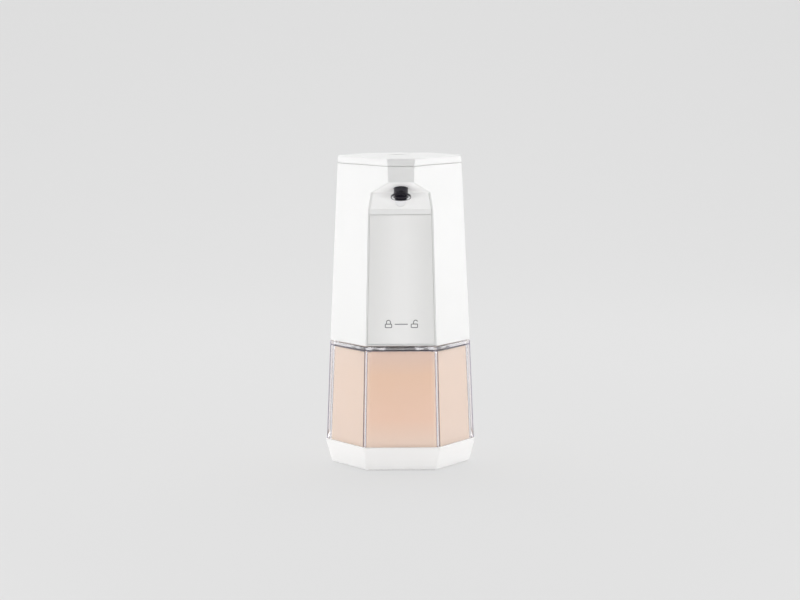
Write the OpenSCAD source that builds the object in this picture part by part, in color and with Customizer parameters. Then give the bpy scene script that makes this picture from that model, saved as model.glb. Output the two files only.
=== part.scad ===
// Touch-free hand sanitizer dispenser with a clear hexagonal bottle. Sizes are millimetres.
// Z is up, the table is z = 0, the twist axis is X = Y = 0, and the nose with its nozzle points to -Y.

/* [Heights] */
// Height of the base rim above the table
base_h = 15.4; // [13:0.2:20]
// Height of the bottle from the base rim to its shoulder
bottle_h = 62.6; // [50:0.2:80]
// Open line between the bottle's shoulder and the head
joint_gap = 0.5; // [0.3:0.1:1]
// Height of the head shell up to the lid seam
head_h = 111.5; // [108:0.5:130]
// Height of the lid above its seam
lid_h = 5; // [4.5:0.1:7]

/* [Hexagon, radius to the corners] */
// Base at the table
foot_r = 44; // [42:0.1:46]
// Base at its rim
base_r = 47.5; // [46.5:0.1:49]
// Step from the base rim in to the bottle
rim_step = 0.8; // [0.7:0.1:1.4]
// Bottle shoulder and lower end of the head
joint_r = 44.2; // [43.5:0.1:45.4]
// Head at the top of the lid
top_r = 38.85; // [38:0.05:41]
// Rounding of the upright edges
edge_r = 0.8; // [0.4:0.1:1.5]

/* [Nose] */
// Reach of the nose from the twist axis at the top
nose_reach = 52.75; // [50:0.25:56]
// Forward lean of the nose front, per mm downwards
nose_lean = 0.134; // [0.05:0.002:0.18]
// Depth of the nose front below the top
nose_drop = 14.6; // [13:0.2:17]
// Fall of the nose underside from its lip to the inner corner
ceiling_drop = 7; // [5:0.2:9]
// Fall of the recess wall from the inner corner to the front face
wall_drop = 10.4; // [9.6:0.2:14]
// Step of the inner corner ahead of the front face
corner_step = 2.7; // [1.5:0.1:4]
// Band of the bezel that lies on the front face, above the front panel
band_h = 3.4; // [2:0.2:8]

/* [Walls] */
// Head shell
shell_wall = 2.2; // [1.8:0.1:2.6]
// Front panel and bezel plates
insert_t = 1.6; // [1.2:0.1:2]
// Shell behind those plates
backing_t = 1.5; // [1.2:0.1:2]
// Rim of shell left around those plates
insert_rim = 0.9; // [0.6:0.1:2]
// Clear bottle
bottle_wall = 2.5; // [2:0.1:3]
// Rounding of the bottle's inside corners
cavity_round = 6; // [3:0.5:8]
// Base floor
base_floor = 2.6; // [2:0.1:4]
// Rounding of the base's lower edge
foot_round = 2; // [1:0.1:3]
// Lid plate
lid_wall = 2; // [1.5:0.1:2.4]
// Rounding of the lid's top edge
lid_round = 1.2; // [0.5:0.1:2]
// Height of the lid's inner rim
lid_rim_h = 4; // [2:0.5:6]

/* [Foot pad] */
// Radius of the pad
pad_r = 33; // [25:0.5:35]
// Thickness of the pad
pad_t = 1.6; // [1.2:0.1:2]
// Height of the base above the table
pad_proud = 0.6; // [0.4:0.1:1]

/* [Bottle neck and bayonet] */
// Outer radius of the neck
neck_r = 18; // [16:0.5:19]
// Wall of the neck
neck_wall = 3; // [2:0.25:4]
// Height of the neck above the shoulder
neck_h = 13; // [12:0.5:16]
// Number of lugs
lug_n = 3; // [2:1:3]
// Width of a lug, degrees
lug_w = 26; // [16:1:30]
// Height of a lug
lug_h = 3; // [2:0.25:4]
// Reach of a lug from the neck
lug_out = 2.4; // [1.5:0.1:3]
// Twist from locked to unlocked, degrees
twist = 30; // [20:1:32]
// Thickness of the socket ledge under the lugs
ledge_t = 5; // [4:0.25:6]
// Thickness of the neck gasket
gasket_t = 2; // [1.5:0.1:3]

/* [Liquid path] */
// Outer radius of the hoses
hose_r = 3; // [2.8:0.1:3.2]
// Outer radius of the hose barbs
barb_r = 2; // [1.8:0.1:2.2]
// Radius of the bores in barbs and ports
port_r = 1.2; // [0.8:0.1:1.4]
// Length of an upright barb
barb_l = 8; // [6:0.5:10]
// Bend radius of the outlet hose
bend_r = 6; // [5:0.25:6.5]
// Outer radius of the dip tube
dip_r = 4; // [3.5:0.1:5]
// Level of the liquid below the inside of the shoulder
fill_drop = 0.4; // [0.3:0.1:40]

/* [Gear pump and motor] */
// Teeth of each pump gear
teeth = 10; // [9:1:10]
// Gear module
tooth_m = 0.8; // [0.7:0.05:0.85]
// Width of the gears
gear_w = 6; // [4:0.5:8]
// Wall of the pump around the gears
pump_wall = 3.9; // [3.5:0.1:4.2]
// Distance from the inlet to the gear mesh
port_off = 4.4; // [4:0.1:5]
// Radius of the motor
motor_r = 12; // [10:0.25:12.5]
// Length of the motor can
motor_l = 27; // [20:0.5:32]
// Radius of the motor shaft
shaft_r = 1; // [0.8:0.05:1.25]

/* [Nozzle and sensor] */
// Distance of the nozzle from the inner corner of the nose underside
nozzle_off = 6.8; // [6.6:0.1:8]
// Radius of the nozzle tube
nozzle_r = 4.4; // [4:0.1:4.8]
// Length of the nozzle below the bezel
nozzle_l = 6; // [4:0.25:8]
// Radius of the nozzle's end flange
nozzle_flange_r = 6.25; // [5.5:0.05:6.8]
// Height of the sensor axis above the foot of the recess wall
sensor_rise = 4.8; // [4.2:0.1:5.2]
// Half height of the sensor window
window_r = 3; // [2.5:0.1:3.2]
// Distance between the infrared emitter and receiver
ir_pitch = 3.4; // [3:0.1:3.8]

/* [Electrics] */
// Radius of the battery cell
batt_r = 7.1; // [6:0.1:7.4]
// Length of the battery cell
batt_l = 50; // [40:0.5:55]
// Side offset of the battery cell
batt_x = 19.5; // [19:0.1:20.5]
// Thickness of the circuit boards
pcb_t = 1.6; // [1:0.1:1.8]
// Half width of the main board
board_w = 18; // [17.5:0.25:19]
// Height of the main board
board_h = 66; // [60:0.5:68]
// Depth of the charging socket
usb_l = 6.5; // [6:0.1:7.5]
// Radius of the power button
button_r = 7; // [5:0.25:8]
// Travel of the power button
button_travel = 0.6; // [0.3:0.1:0.8]
// Width of the charging port cover
cover_w = 15.6; // [14:0.2:20]
// Height of the charging port cover
cover_h = 8.6; // [8:0.2:11]
// Thickness of the charging port cover
cover_t = 1.1; // [0.8:0.05:1.2]

/* [Clearances] */
// Gap around inserted plates, the lid and the cover
fit = 0.2; // [0.1:0.05:0.3]
// Running gap around shafts and screws
run = 0.05; // [0.02:0.01:0.1]
// Gap between the bottle and the head
turn_gap = 0.4; // [0.3:0.05:0.6]

/* [Hidden] */
$fn = 64;
eps = 0.01;
// Overrun of a cut past the face that it opens
over = 1;
c30 = cos(30);
t60 = tan(60);

// Levels of the stack
z_rim = base_h;
z_shoulder = z_rim + bottle_h;
z_head = z_shoulder + joint_gap;
z_seam = z_head + head_h;
z_top = z_seam + lid_h;
z_base_floor = pad_proud + base_floor;
z_lip = z_top - nose_drop;
z_corner = z_lip - ceiling_drop;
z_wall = z_corner - wall_drop;
z_panel = z_wall - band_h;

// Head outline: corner radius, distance of a flat face, and reach of the nose at a height
function head_r(z) = joint_r + (top_r - joint_r) * (z - z_head) / (z_top - z_head);
function face_y(z) = head_r(z) * c30;
function reach(z) = nose_reach + nose_lean * (z_top - z);
function outline(r, f) = [[r, 0], [r / 2, r * c30], [-r / 2, r * c30], [-r, 0],
                          [f / t60 - r, -f], [r - f / t60, -f]];
face_lean = atan((joint_r - top_r) * c30 / (z_top - z_head));
skin_t = insert_t + backing_t;

// Underside of the nose
y_corner = face_y(z_corner) + corner_step;
ceiling_rise = (z_lip - z_corner) / (reach(z_lip) - y_corner);
ceiling_tilt = atan(ceiling_rise);
wall_lean = atan((y_corner - face_y(z_wall)) / wall_drop);
insert_top = 2;
front_stock = 5;
function wall_y(z) = face_y(z_wall) + (y_corner - face_y(z_wall)) * (z - z_wall) / (z_corner - z_wall);

// Bottle and base
base_skin = 1.6;
foot_corner = 2;
rim_corner = 1.2;
rim_bevel = 0.5;
seat_gap = 2 * fit;
seat_r = base_r - base_skin;
seat_r_low = foot_r - base_skin - rim_bevel;
bottle_r = base_r - rim_step;
bottle_foot = z_base_floor + seat_gap;
cavity_dip = 0.3;
cap_round = 2;
cap_steps = 3;
shoulder_bevel = 0.5;
wet_gap = 0.1;
dip_gap = 0.5;
dip_lift = 2;
groove_w = 1.2;
groove_d = 0.4;
groove_pitch = 4;
cavity_low = bottle_foot + bottle_wall;
wall_c = bottle_wall / c30;
z_cavity = z_shoulder - bottle_wall;
function bottle_rr(z) = bottle_r + (joint_r - bottle_r) * (z - z_rim) / bottle_h;

// Bayonet socket
socket_recess = 0.6;
flange_t = 3;
z_flange0 = z_head + socket_recess;
z_flange1 = z_flange0 + flange_t;
z_ledge = z_flange0 + ledge_t;
z_lug0 = z_ledge + turn_gap;
z_lug1 = z_lug0 + lug_h;
z_neck = z_shoulder + neck_h;
gasket_seat = 0.5;
gasket_gap = 0.1;
seat_play = 0.1;
z_ceil0 = z_neck + gasket_gap + gasket_t - gasket_seat;
neck_bore = neck_r - neck_wall;
gasket_bore = neck_bore - 0.5;
ceil_t = 2.5;
z_ceil1 = z_ceil0 + ceil_t;
dip_wall = 1.1;
spigot_r = dip_r - dip_wall;
collar_wall = 2.4;
collar_in = neck_r + lug_out + turn_gap;
collar_r = collar_in + collar_wall;
lug_first = 30;
stop_w = 5;
stop_play = 1;
lug_step = 360 / lug_n;

// Screws: shank and head radius
screw_r = 1.2;
screw_head = 2.2;
board_screw_r = 1.1;
pump_screw_r = 1;
pump_screw_head = 1.9;
switch_screw_r = 0.9;
sensor_screw_r = 0.8;
sensor_screw_head = 1.5;
switch_screw_head = 1.7;
board_screw_head = 2;
board_thread = 4;
pump_thread = 5;
drive_w = 0.5;
counterbore = 1.6;
thread_l = 6;
tip_room = 1;
post_r = 3.2;

// Shell bosses for the socket screws
boss_r = 3.6;
boss_h = 11;
boss_rib = 2;
boss_in = 8.5;
boss_d = joint_r - shell_wall / c30 - boss_in;
boss_angles = [60, 180, 300];

// Pump
pitch_r = teeth * tooth_m / 2;
tip_r = pitch_r + 0.75 * tooth_m;
root_r = pitch_r - 1.05 * tooth_m;
mesh_y = -port_off;
tip_gap = 0.1;
chamber_r = tip_r + tip_gap;
pump_hx = pitch_r + chamber_r + pump_wall;
pump_hy = chamber_r + pump_wall;
pump_screw_y = 6;
pump_screw_x = pitch_r + pump_screw_y;
barb_space = 1;
z_p0 = z_ceil1 + 2 * barb_l + barb_space;
pump_plate = 3;
press = 0.02;
end_play = 0.05;
z_p1 = z_p0 + pump_plate;
z_chamber = z_p1 + gear_w + 2 * end_play;
z_p2 = z_chamber + pump_plate;
z_out = z_p1 + gear_w / 2;
idler_pin_r = 1.2;
pin_sunk = 1.5;
z_motor_top = z_p2 + motor_l;
terminal_x = 5;
terminal_h = 3;
terminal_w = 2;
terminal_t = 0.8;
z_terminal = z_motor_top + terminal_h;
can_wall = 1;
can_face = 1.2;
can_boss_r = 3.1;
can_boss_h = 1;
plug_h = 3;
cap_t = 1.2;
magnet_t = 1.8;
magnet_low = 4;
air_gap = 0.6;
coil_slot = 1.6;
seal_r = 2.6;
seal_t = 1.4;

// Outlet hose runs up the middle plane from the pump to the nozzle elbow
pump_front = port_off + pump_hy;
out_barb_l = 5;
barb_gap = 0.3;
bend_lead = 0.5;
hose_stop = 2.2;
hose_y = pump_front + out_barb_l + bend_lead + bend_r;
hose_bore = barb_r + run;

// Nozzle
y_noz = y_corner + nozzle_off;
z_noz = z_corner + ceiling_rise * nozzle_off;
nut_t = 2.5;
nut_out = 2.6;
nozzle_flange_t = 1.4;
nozzle_skin = 0.7;
nozzle_bore = nozzle_r - nozzle_skin;
ring_t = 0.3;
ring_h = 0.6;
ring_lip = 0.1;
ring_edge = 0.5;
ring_in = nozzle_r + ring_lip;
ring_out = nozzle_flange_r - ring_edge;
nozzle_plug = 2;
nozzle_step = 1.4;
spigot_l = 3.5;
elbow_wall = 1.9;
elbow_h = 6.2;
nozzle_spigot_r = nozzle_r - nozzle_step;
nozzle_in = skin_t + nut_t + 2 * run;
elbow_s = nozzle_in + elbow_h * 0.7;
elbow_r = nozzle_spigot_r + elbow_wall;
cross_bore = port_r - fit;
z_in = z_noz + elbow_s * cos(ceiling_tilt);
y_in = y_noz - elbow_s * sin(ceiling_tilt);

// Sensor
board_gap = 2;
z_sensor = z_wall + sensor_rise;
sensor_y1 = wall_y(z_sensor) - skin_t / cos(wall_lean) - board_gap;
sensor_y0 = sensor_y1 - pcb_t;
sensor_hole_x = 7.6;
sensor_boss_r = 2.2;
window_lap = 1.5;
window_in = 1.4;
window_gap = 0.1;
sensor_thread = 2.2;
sensor_w = 21;
sensor_h = 9;
diode_r = 1.2;
diode_l = 2;
diode_rim = 0.2;

// Chassis, boards and battery, set out from the back wall and the socket
usb_w = 9;
usb_t = 3.2;
usb_skin = 0.4;
usb_back = 1.2;
usb_sunk = 0.9;
foot_t = 2.5;
deck_t = 2.5;
z_foot = z_ceil1 + foot_t;
foot_w = 25;
foot_front = 17;
foot_screw_x = 21.5;
foot_screw_front = 13;
shelf_w = 9;
shelf_rib_x = 8;
rib_t = 2;
rib_l = 12;
rib_h = 8;
clip_wall = 1.9;
clip_h = 7;
clip_up = 6;
hose_gap = 0.8;
board_lift = 6;
usb_up = 9;
board_boss_r = 2.8;
board_boss_l = 5;
board_edge = 3.5;
board_hole_low = 5;
board_hole_top = 6;
z_b0 = z_foot + board_lift;
z_b1 = z_b0 + board_h;
z_usb = z_b0 + usb_up;
board_y1 = face_y(z_usb) - shell_wall + usb_sunk - usb_l;
board_y0 = board_y1 - pcb_t;
spine_t = 2.5;
spine_y1 = board_y0 - board_boss_l;
spine_y0 = spine_y1 - spine_t;
spine_w = 21;
batt_gap = 1.6;
batt_cap_h = 1.2;
batt_cap_r = 2.8;
batt_y = spine_y0 - batt_r - batt_gap;
z_batt1 = z_foot + batt_l;
chassis_screws_xy = [[-foot_screw_x, foot_front], [-foot_screw_x, -foot_screw_front],
                     [foot_screw_x, -foot_screw_front]];
board_screws_xz = [for (s = [-1, 1], z = [z_b0 + board_hole_low, z_b1 - board_hole_top])
                   [s * (board_w - board_edge), z]];
chip_w = 8;
chip_t = 1.2;
conn_w = 5;
conn_h = 4;
conn_t = 4.2;
conn_room = 3.5;
z_conn = z_b1 - board_hole_top;
y_conn = board_y0 - conn_t;
conn_x = [-7, 2, 8];
lead_r = 0.7;
lead_gap = 1.2;
lead_x = 2 * hose_r;
lead_rise = 14;

// Button stack, set out from the lid
z_plate = z_top - lid_wall;
seam_t = 0.5;
seam_in = 0.9;
lid_rim_t = 1.5;
flange_play = 0.3;
flange_out = 1.2;
flange_h = 1.4;
well_wall = 1.7;
well_d = 3;
stem_r = 2.2;
stem_h = 2.2;
button_low = 0.2;
dish_r = 24;
dish_d = 0.8;
z_flange_top = z_plate - flange_play;
z_flange_low = z_flange_top - flange_h;
z_stem = z_flange_low - stem_h;
plunger_r = 1.7;
plunger_out = 1;
plunger_room = 0.4;
switch_h = 3.5;
switch_w = 6;
switch_floor = 0.6;
switch_board_w = 17;
switch_board_d = 16;
z_switch1 = z_stem - plunger_out;
z_switch0 = z_switch1 - switch_h;
z_shelf1 = z_switch0 - pcb_t;
z_shelf0 = z_shelf1 - deck_t;
switch_screw_x = 6.3;
switch_screw_y = 5.5;

// Port cover on the back face
recess_d = cover_t + 0.15;
nail_r = 1.9;
plug_room = 1.05;
hinge_z = cover_h / 2 - cover_t / 2;
cover_pin_r = 0.3;
cover_pin_l = 1;

// Colours
white = [0.93, 0.93, 0.92];
grey = [0.55, 0.56, 0.58];
dark = [0.12, 0.12, 0.14];
steel = [0.74, 0.75, 0.77];
green = [0.10, 0.32, 0.20];
rubber = [0.30, 0.30, 0.32];

// Corner discs of a regular hexagon at one height
module hex_level(z, r, e) {
  for (i = [0:5])
    rotate([0, 0, 60 * i])
      translate([r - e / c30, 0, z])
        cylinder(r = e, h = eps, $fn = e > edge_r + rim_corner ? 72 : 32);
}

// Corner discs of the head outline with its nose at one height
module head_level(z, f, inset) {
  for (p = outline(head_r(z) - (inset + edge_r) / c30, f - inset - edge_r))
    translate([p[0], p[1], z])
      cylinder(r = edge_r, h = eps, $fn = 32);
}

// Head body before the front is cut away
module head_form(inset, z0, z1) {
  hull() {
    head_level(z0, face_y(z0) + front_stock, inset);
    head_level(z_wall, reach(z_wall), inset);
    head_level(z1 - eps, reach(z1), inset);
  }
}

// Upper end of the head, all of it with the nose outline
module lid_form(inset, z0, z1) {
  hull() {
    head_level(z0, reach(z0), inset);
    head_level(z1 - eps, reach(z1), inset);
  }
}

// Side profile of the space in front of the head: distance ahead of the axis, height
module front_cut() {
  low = z_head - neck_h;
  far = 2 * reach(z_lip);
  polygon([[face_y(low), low], [face_y(z_wall), z_wall], [y_corner, z_corner],
           [far, z_corner + ceiling_rise * (far - y_corner)], [far, low]]);
}

// Turns a side profile into a bar along X
module along_x(w) {
  rotate([90, 0, -90])
    linear_extrude(w, center = true)
      children();
}

module front_space(grow) {
  along_x(3 * base_r)
    offset(delta = grow)
      front_cut();
}

// Inside of the head shell, drawn in by a gap
module head_inside(gap) {
  difference() {
    head_form(shell_wall + gap, z_head - over, z_seam + over);
    front_space(skin_t + gap);
  }
}

// Frame on the nose underside, local Z into the nose along the nozzle
module at_nozzle() {
  translate([0, -y_noz, z_noz])
    rotate([-ceiling_tilt, 0, 0])
      children();
}

// Frame on the back face at the charging port, local Y outwards
module on_back() {
  translate([0, face_y(z_usb), z_usb])
    rotate([face_lean, 0, 0])
      children();
}

// Bar along -Y from a point y0 to y1, both measured ahead of the axis
module ahead(x, z, y0, y1, r) {
  translate([x, -y0, z])
    rotate([90, 0, 0])
      cylinder(r = r, h = y1 - y0);
}

// Ring sector about the twist axis
module sector(r0, r1, a, w, z0, z1) {
  rotate([0, 0, a - w / 2])
    rotate_extrude(angle = w)
      translate([r0, z0])
        square([r1 - r0, z1 - z0]);
}

// Slot along Y with round ends side by side in X
module wide_slot(half, r, y0, y1, z) {
  for (s = [-1, 1])
    ahead(s * half, z, y0, y1, r);
  translate([-half, -y1, z - r])
    cube([2 * half, y1 - y0, 2 * r]);
}

// Screw along Z: head at the origin going down, shank going up
module screw_up(head_r0, head_t, shank_r, shank_l) {
  difference() {
    translate([0, 0, -head_t])
      cylinder(r = head_r0, h = head_t);
    translate([-head_r0 * 0.7, -drive_w / 2, -head_t - drive_w])
      cube([head_r0 * 1.4, drive_w, 2 * drive_w]);
    translate([-drive_w / 2, -head_r0 * 0.7, -head_t - drive_w])
      cube([drive_w, head_r0 * 1.4, 2 * drive_w]);
  }
  translate([0, 0, -eps])
    cylinder(r = shank_r, h = shank_l + eps);
}

// Points of a cubic curve and a round wire swept along it
function curve(a, b, c, d, n) = [for (i = [0:n]) let (t = i / n, u = 1 - t)
  u * u * u * a + 3 * u * u * t * b + 3 * u * t * t * c + t * t * t * d];
function unit(v) = v / norm(v);
function heading(p, i) = unit(p[min(i + 1, len(p) - 1)] - p[max(i - 1, 0)]);
function ring(c, t, r, k) = let (u = unit(cross(t, [1, 0, 0])), v = cross(t, u))
  [for (j = [0:k - 1]) c + r * (cos(360 * j / k) * u + sin(360 * j / k) * v)];

module wire(p, r) {
  k = 8;
  n = len(p);
  pts = [for (i = [0:n - 1]) each ring(p[i], heading(p, i), r, k)];
  sides = [for (i = [0:n - 2], j = [0:k - 1]) let (a = i * k + j, b = i * k + (j + 1) % k)
    each [[a, a + k, b + k], [a, b + k, b]]];
  start = [for (j = [0:k - 1]) j];
  end = [for (j = [0:k - 1]) n * k - 1 - j];
  polyhedron(points = pts, faces = concat([start], sides, [end]));
}

// Involute gear outline with short teeth and play on both flanks
pressure = 28;
flank_play = 0.09;
base_cr = pitch_r * cos(pressure);
function inv_deg(r) = let (a = acos(min(1, base_cr / r))) tan(a) * 180 / PI - a;
function half_tooth(r) = 90 / teeth + inv_deg(pitch_r) - inv_deg(max(r, base_cr))
  - flank_play / pitch_r * 180 / PI;
flank = [for (i = [0:6]) root_r + (tip_r - root_r) * i / 6];

module gear_outline() {
  pts = [for (k = [0:teeth - 1]) let (m = 360 * k / teeth) each concat(
    [for (r = flank) [r * cos(m - half_tooth(r)), r * sin(m - half_tooth(r))]],
    [for (i = [6:-1:0]) let (r = flank[i]) [r * cos(m + half_tooth(r)), r * sin(m + half_tooth(r))]])];
  polygon(pts);
}

module base_shell() {
  color(white)
    difference() {
      hull() {
        for (k = [0:3])
          hex_level(pad_proud + foot_round * (1 - sin(30 * k)), foot_r - foot_round * (1 - cos(30 * k)),
                    foot_corner);
        hex_level(z_rim - rim_bevel, base_r, rim_corner);
        hex_level(z_rim - eps, base_r - rim_bevel, rim_corner);
      }
      translate([0, 0, z_base_floor])
        cylinder(r1 = seat_r_low, r2 = seat_r, h = z_rim - z_base_floor + eps, $fn = 6);
      translate([0, 0, -pad_t])
        cylinder(r = pad_r + fit, h = 2 * pad_t);
    }
}

module foot_pad() {
  color(rubber)
    difference() {
      cylinder(r = pad_r, h = pad_t);
      for (k = [1:3])
        translate([0, 0, -groove_d])
          difference() {
            cylinder(r = pad_r - k * groove_pitch, h = 2 * groove_d);
            translate([0, 0, -groove_d])
              cylinder(r = pad_r - k * groove_pitch - groove_w, h = 4 * groove_d);
          }
    }
}

// Space inside the bottle below the shoulder, drawn in by a gap
module bottle_inside(gap) {
  hull() {
    hex_level(cavity_low + gap, seat_r_low - seat_gap - wall_c - gap, cavity_round);
    hex_level(z_rim - cavity_dip, bottle_r - wall_c - gap, cavity_round);
    for (a = [0:90 / cap_steps:90])
      hex_level(z_cavity - gap - eps - cap_round * (1 - sin(a)),
                bottle_rr(z_cavity) - wall_c - gap - cap_round * (1 - cos(a)) / c30,
                cavity_round - cap_round * (1 - cos(a)));
  }
}

module bottle() {
  color([0.90, 0.92, 0.95, 0.35])
    difference() {
      union() {
        hull() {
          hex_level(z_rim, bottle_r, edge_r);
          hex_level(z_shoulder - shoulder_bevel, bottle_rr(z_shoulder - shoulder_bevel), edge_r);
          hex_level(z_shoulder - eps, joint_r - shoulder_bevel, edge_r);
        }
        translate([0, 0, bottle_foot])
          cylinder(r1 = seat_r_low - seat_gap, r2 = seat_r - seat_gap, h = z_rim - bottle_foot + eps,
                   $fn = 6);
        translate([0, 0, z_cavity])
          cylinder(r = neck_r, h = z_neck - z_cavity);
        for (i = [0:lug_n - 1])
          sector(neck_r - neck_wall / 2, neck_r + lug_out, lug_first + i * lug_step, lug_w, z_lug0, z_lug1);
      }
      bottle_inside(0);
      translate([0, 0, z_cavity - bottle_wall])
        cylinder(r = neck_bore, h = neck_h + 3 * bottle_wall);
    }
}

module sanitizer_fill() {
  color([0.90, 0.72, 0.63])
    difference() {
      bottle_inside(wet_gap);
      translate([-base_r, -base_r, z_cavity - fill_drop])
        cube([2 * base_r, 2 * base_r, fill_drop + neck_h]);
      cylinder(r = dip_r + dip_gap, h = z_shoulder);
    }
}

module neck_gasket() {
  color(rubber)
    translate([0, 0, z_neck + gasket_gap])
      difference() {
        cylinder(r = neck_r, h = gasket_t);
        translate([0, 0, -gasket_t])
          cylinder(r = gasket_bore, h = 3 * gasket_t);
      }
}

// Half section of the socket: collar, ledge, ceiling with its gasket seat, and both spigots
module socket_profile() {
  polygon([[collar_r, z_flange0], [collar_r, z_ceil1], [barb_r, z_ceil1], [barb_r, z_ceil1 + barb_l],
           [port_r, z_ceil1 + barb_l], [port_r, z_ceil0 - barb_l], [spigot_r, z_ceil0 - barb_l],
           [spigot_r, z_ceil0], [gasket_bore - seat_play, z_ceil0],
           [gasket_bore - seat_play, z_ceil0 + gasket_seat], [neck_r + seat_play, z_ceil0 + gasket_seat],
           [neck_r + seat_play, z_ceil0], [collar_in, z_ceil0],
           [collar_in, z_ledge], [neck_r + turn_gap, z_ledge], [neck_r + turn_gap, z_flange0]]);
}

module bottle_socket() {
  color(white)
    difference() {
      union() {
        difference() {
          intersection() {
            head_inside(fit);
            translate([-joint_r, -joint_r, z_flange0])
              cube([2 * joint_r, 2 * joint_r, flange_t]);
          }
          translate([0, 0, z_flange0 - flange_t])
            cylinder(r = collar_r - collar_wall / 2, h = 3 * flange_t);
        }
        rotate_extrude()
          socket_profile();
        for (p = chassis_screws_xy)
          difference() {
            translate([p[0], p[1], z_flange0])
              cylinder(r = post_r, h = z_ceil1 - z_flange0);
            cylinder(r = collar_r - collar_wall / 2, h = z_top);
          }
        for (i = [0:lug_n - 1], s = [-1, 1])
          sector(neck_r + turn_gap + seat_play, collar_in + collar_wall / 4,
                 lug_first + i * lug_step + twist / 2 + s * (twist + lug_w + 2 * stop_play + stop_w) / 2,
                 stop_w - stop_play, z_ledge - turn_gap, z_lug1);
      }
      for (i = [0:lug_n - 1])
        sector(neck_r - neck_wall / 2, collar_in + collar_wall / 8, lug_first + i * lug_step + twist,
               lug_w + 2 * stop_play, z_flange0 - ledge_t, z_ledge + turn_gap / 2);
      for (p = chassis_screws_xy)
        translate([p[0], p[1], z_ceil1 - thread_l - tip_room])
          cylinder(r = screw_r + run, h = thread_l + 2 * tip_room);
      for (a = boss_angles)
        rotate([0, 0, a])
          translate([boss_d, 0, z_flange0 - tip_room]) {
            cylinder(r = screw_r + run, h = flange_t + 2 * tip_room);
            cylinder(r = screw_head + fit, h = tip_room + counterbore);
          }
    }
}

module socket_screws() {
  color(steel)
    for (a = boss_angles)
      rotate([0, 0, a])
        translate([boss_d, 0, z_flange0 + counterbore])
          screw_up(screw_head, counterbore - fit, screw_r, flange_t - counterbore + thread_l);
}

module dip_tube() {
  color([0.85, 0.86, 0.88])
    difference() {
      translate([0, 0, cavity_low + dip_lift])
        cylinder(r = dip_r, h = z_ceil0 - fit - cavity_low - dip_lift);
      cylinder(r = spigot_r + run, h = z_top);
      translate([0, 0, cavity_low + dip_lift])
        rotate([0, 45, 0])
          cube([dip_r, 4 * dip_r, dip_r], center = true);
    }
}

module inlet_hose() {
  color([0.80, 0.82, 0.84])
    translate([0, 0, z_foot + 2 * fit])
      difference() {
        cylinder(r = hose_r, h = z_p0 - z_foot - 4 * fit);
        translate([0, 0, -hose_r])
          cylinder(r = hose_bore, h = z_p0);
      }
}

module head_shell() {
  color(white)
    difference() {
      union() {
        difference() {
          head_form(0, z_head, z_seam);
          front_space(0);
          head_inside(0);
        }
        for (a = boss_angles)
          rotate([0, 0, a])
            translate([boss_d, 0, z_flange1]) {
              cylinder(r = boss_r, h = boss_h);
              translate([0, -boss_rib / 2, 0])
                cube([joint_r - shell_wall - boss_d, boss_rib, boss_h]);
            }
        for (s = [-1, 1])
          ahead(s * sensor_hole_x, z_sensor, sensor_y1, wall_y(z_sensor) - insert_t - backing_t / 2,
                sensor_boss_r);
      }
      intersection() {
        front_space(insert_t);
        head_form(insert_rim, z_head + insert_rim, z_seam - insert_top);
      }
      for (a = boss_angles)
        rotate([0, 0, a])
          translate([boss_d, 0, z_flange1 - tip_room])
            cylinder(r = screw_r + run, h = thread_l + 2 * tip_room);
      for (s = [-1, 1])
        ahead(s * sensor_hole_x, z_sensor, sensor_y1 - pcb_t, sensor_y1 + sensor_thread + run,
              sensor_screw_r + run);
      at_nozzle()
        translate([0, 0, -skin_t])
          cylinder(r = nozzle_r + fit, h = 3 * skin_t);
      wide_slot(ir_pitch / 2, window_r - window_lap, sensor_y1, wall_y(z_sensor), z_sensor);
      on_back() {
        translate([-cover_w / 2 - fit, -recess_d, -cover_h / 2 - fit])
          cube([cover_w + 2 * fit, 2 * recess_d, cover_h + 2 * fit]);
        translate([-usb_w / 2 - plug_room, -2 * shell_wall, -usb_t / 2 - plug_room])
          cube([usb_w + 2 * plug_room, 3 * shell_wall, usb_t + 2 * plug_room]);
        translate([0, nail_r / 2, -cover_h / 2 - fit])
          rotate([0, 90, 0])
            cylinder(r = nail_r, h = cover_w * 0.4, center = true);
        translate([0, -cover_t / 2, hinge_z])
          rotate([0, 90, 0])
            cylinder(r = cover_pin_r + run, h = cover_w + 2 * cover_pin_l + 2 * fit, center = true);
      }
    }
}

// Plate let into the front: panel on the face, bezel under the nose
module front_plate() {
  intersection() {
    difference() {
      front_space(insert_t - run);
      front_space(0);
    }
    head_form(insert_rim + fit, z_head + insert_rim + fit, z_seam - insert_top - fit);
  }
}

module front_panel() {
  color(white)
    intersection() {
      front_plate();
      translate([-base_r, -2 * base_r, 0])
        cube([2 * base_r, 2 * base_r, z_panel - fit]);
    }
}

module spout_bezel() {
  color(white)
    difference() {
      intersection() {
        front_plate();
        translate([-base_r, -2 * base_r, z_panel])
          cube([2 * base_r, 2 * base_r, z_seam - z_panel]);
      }
      at_nozzle()
        translate([0, 0, -skin_t])
          cylinder(r = nozzle_r + fit, h = 3 * skin_t);
      wide_slot(ir_pitch / 2 - window_in, window_r + window_gap, sensor_y1,
                wall_y(z_sensor) + window_r, z_sensor);
    }
}

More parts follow.
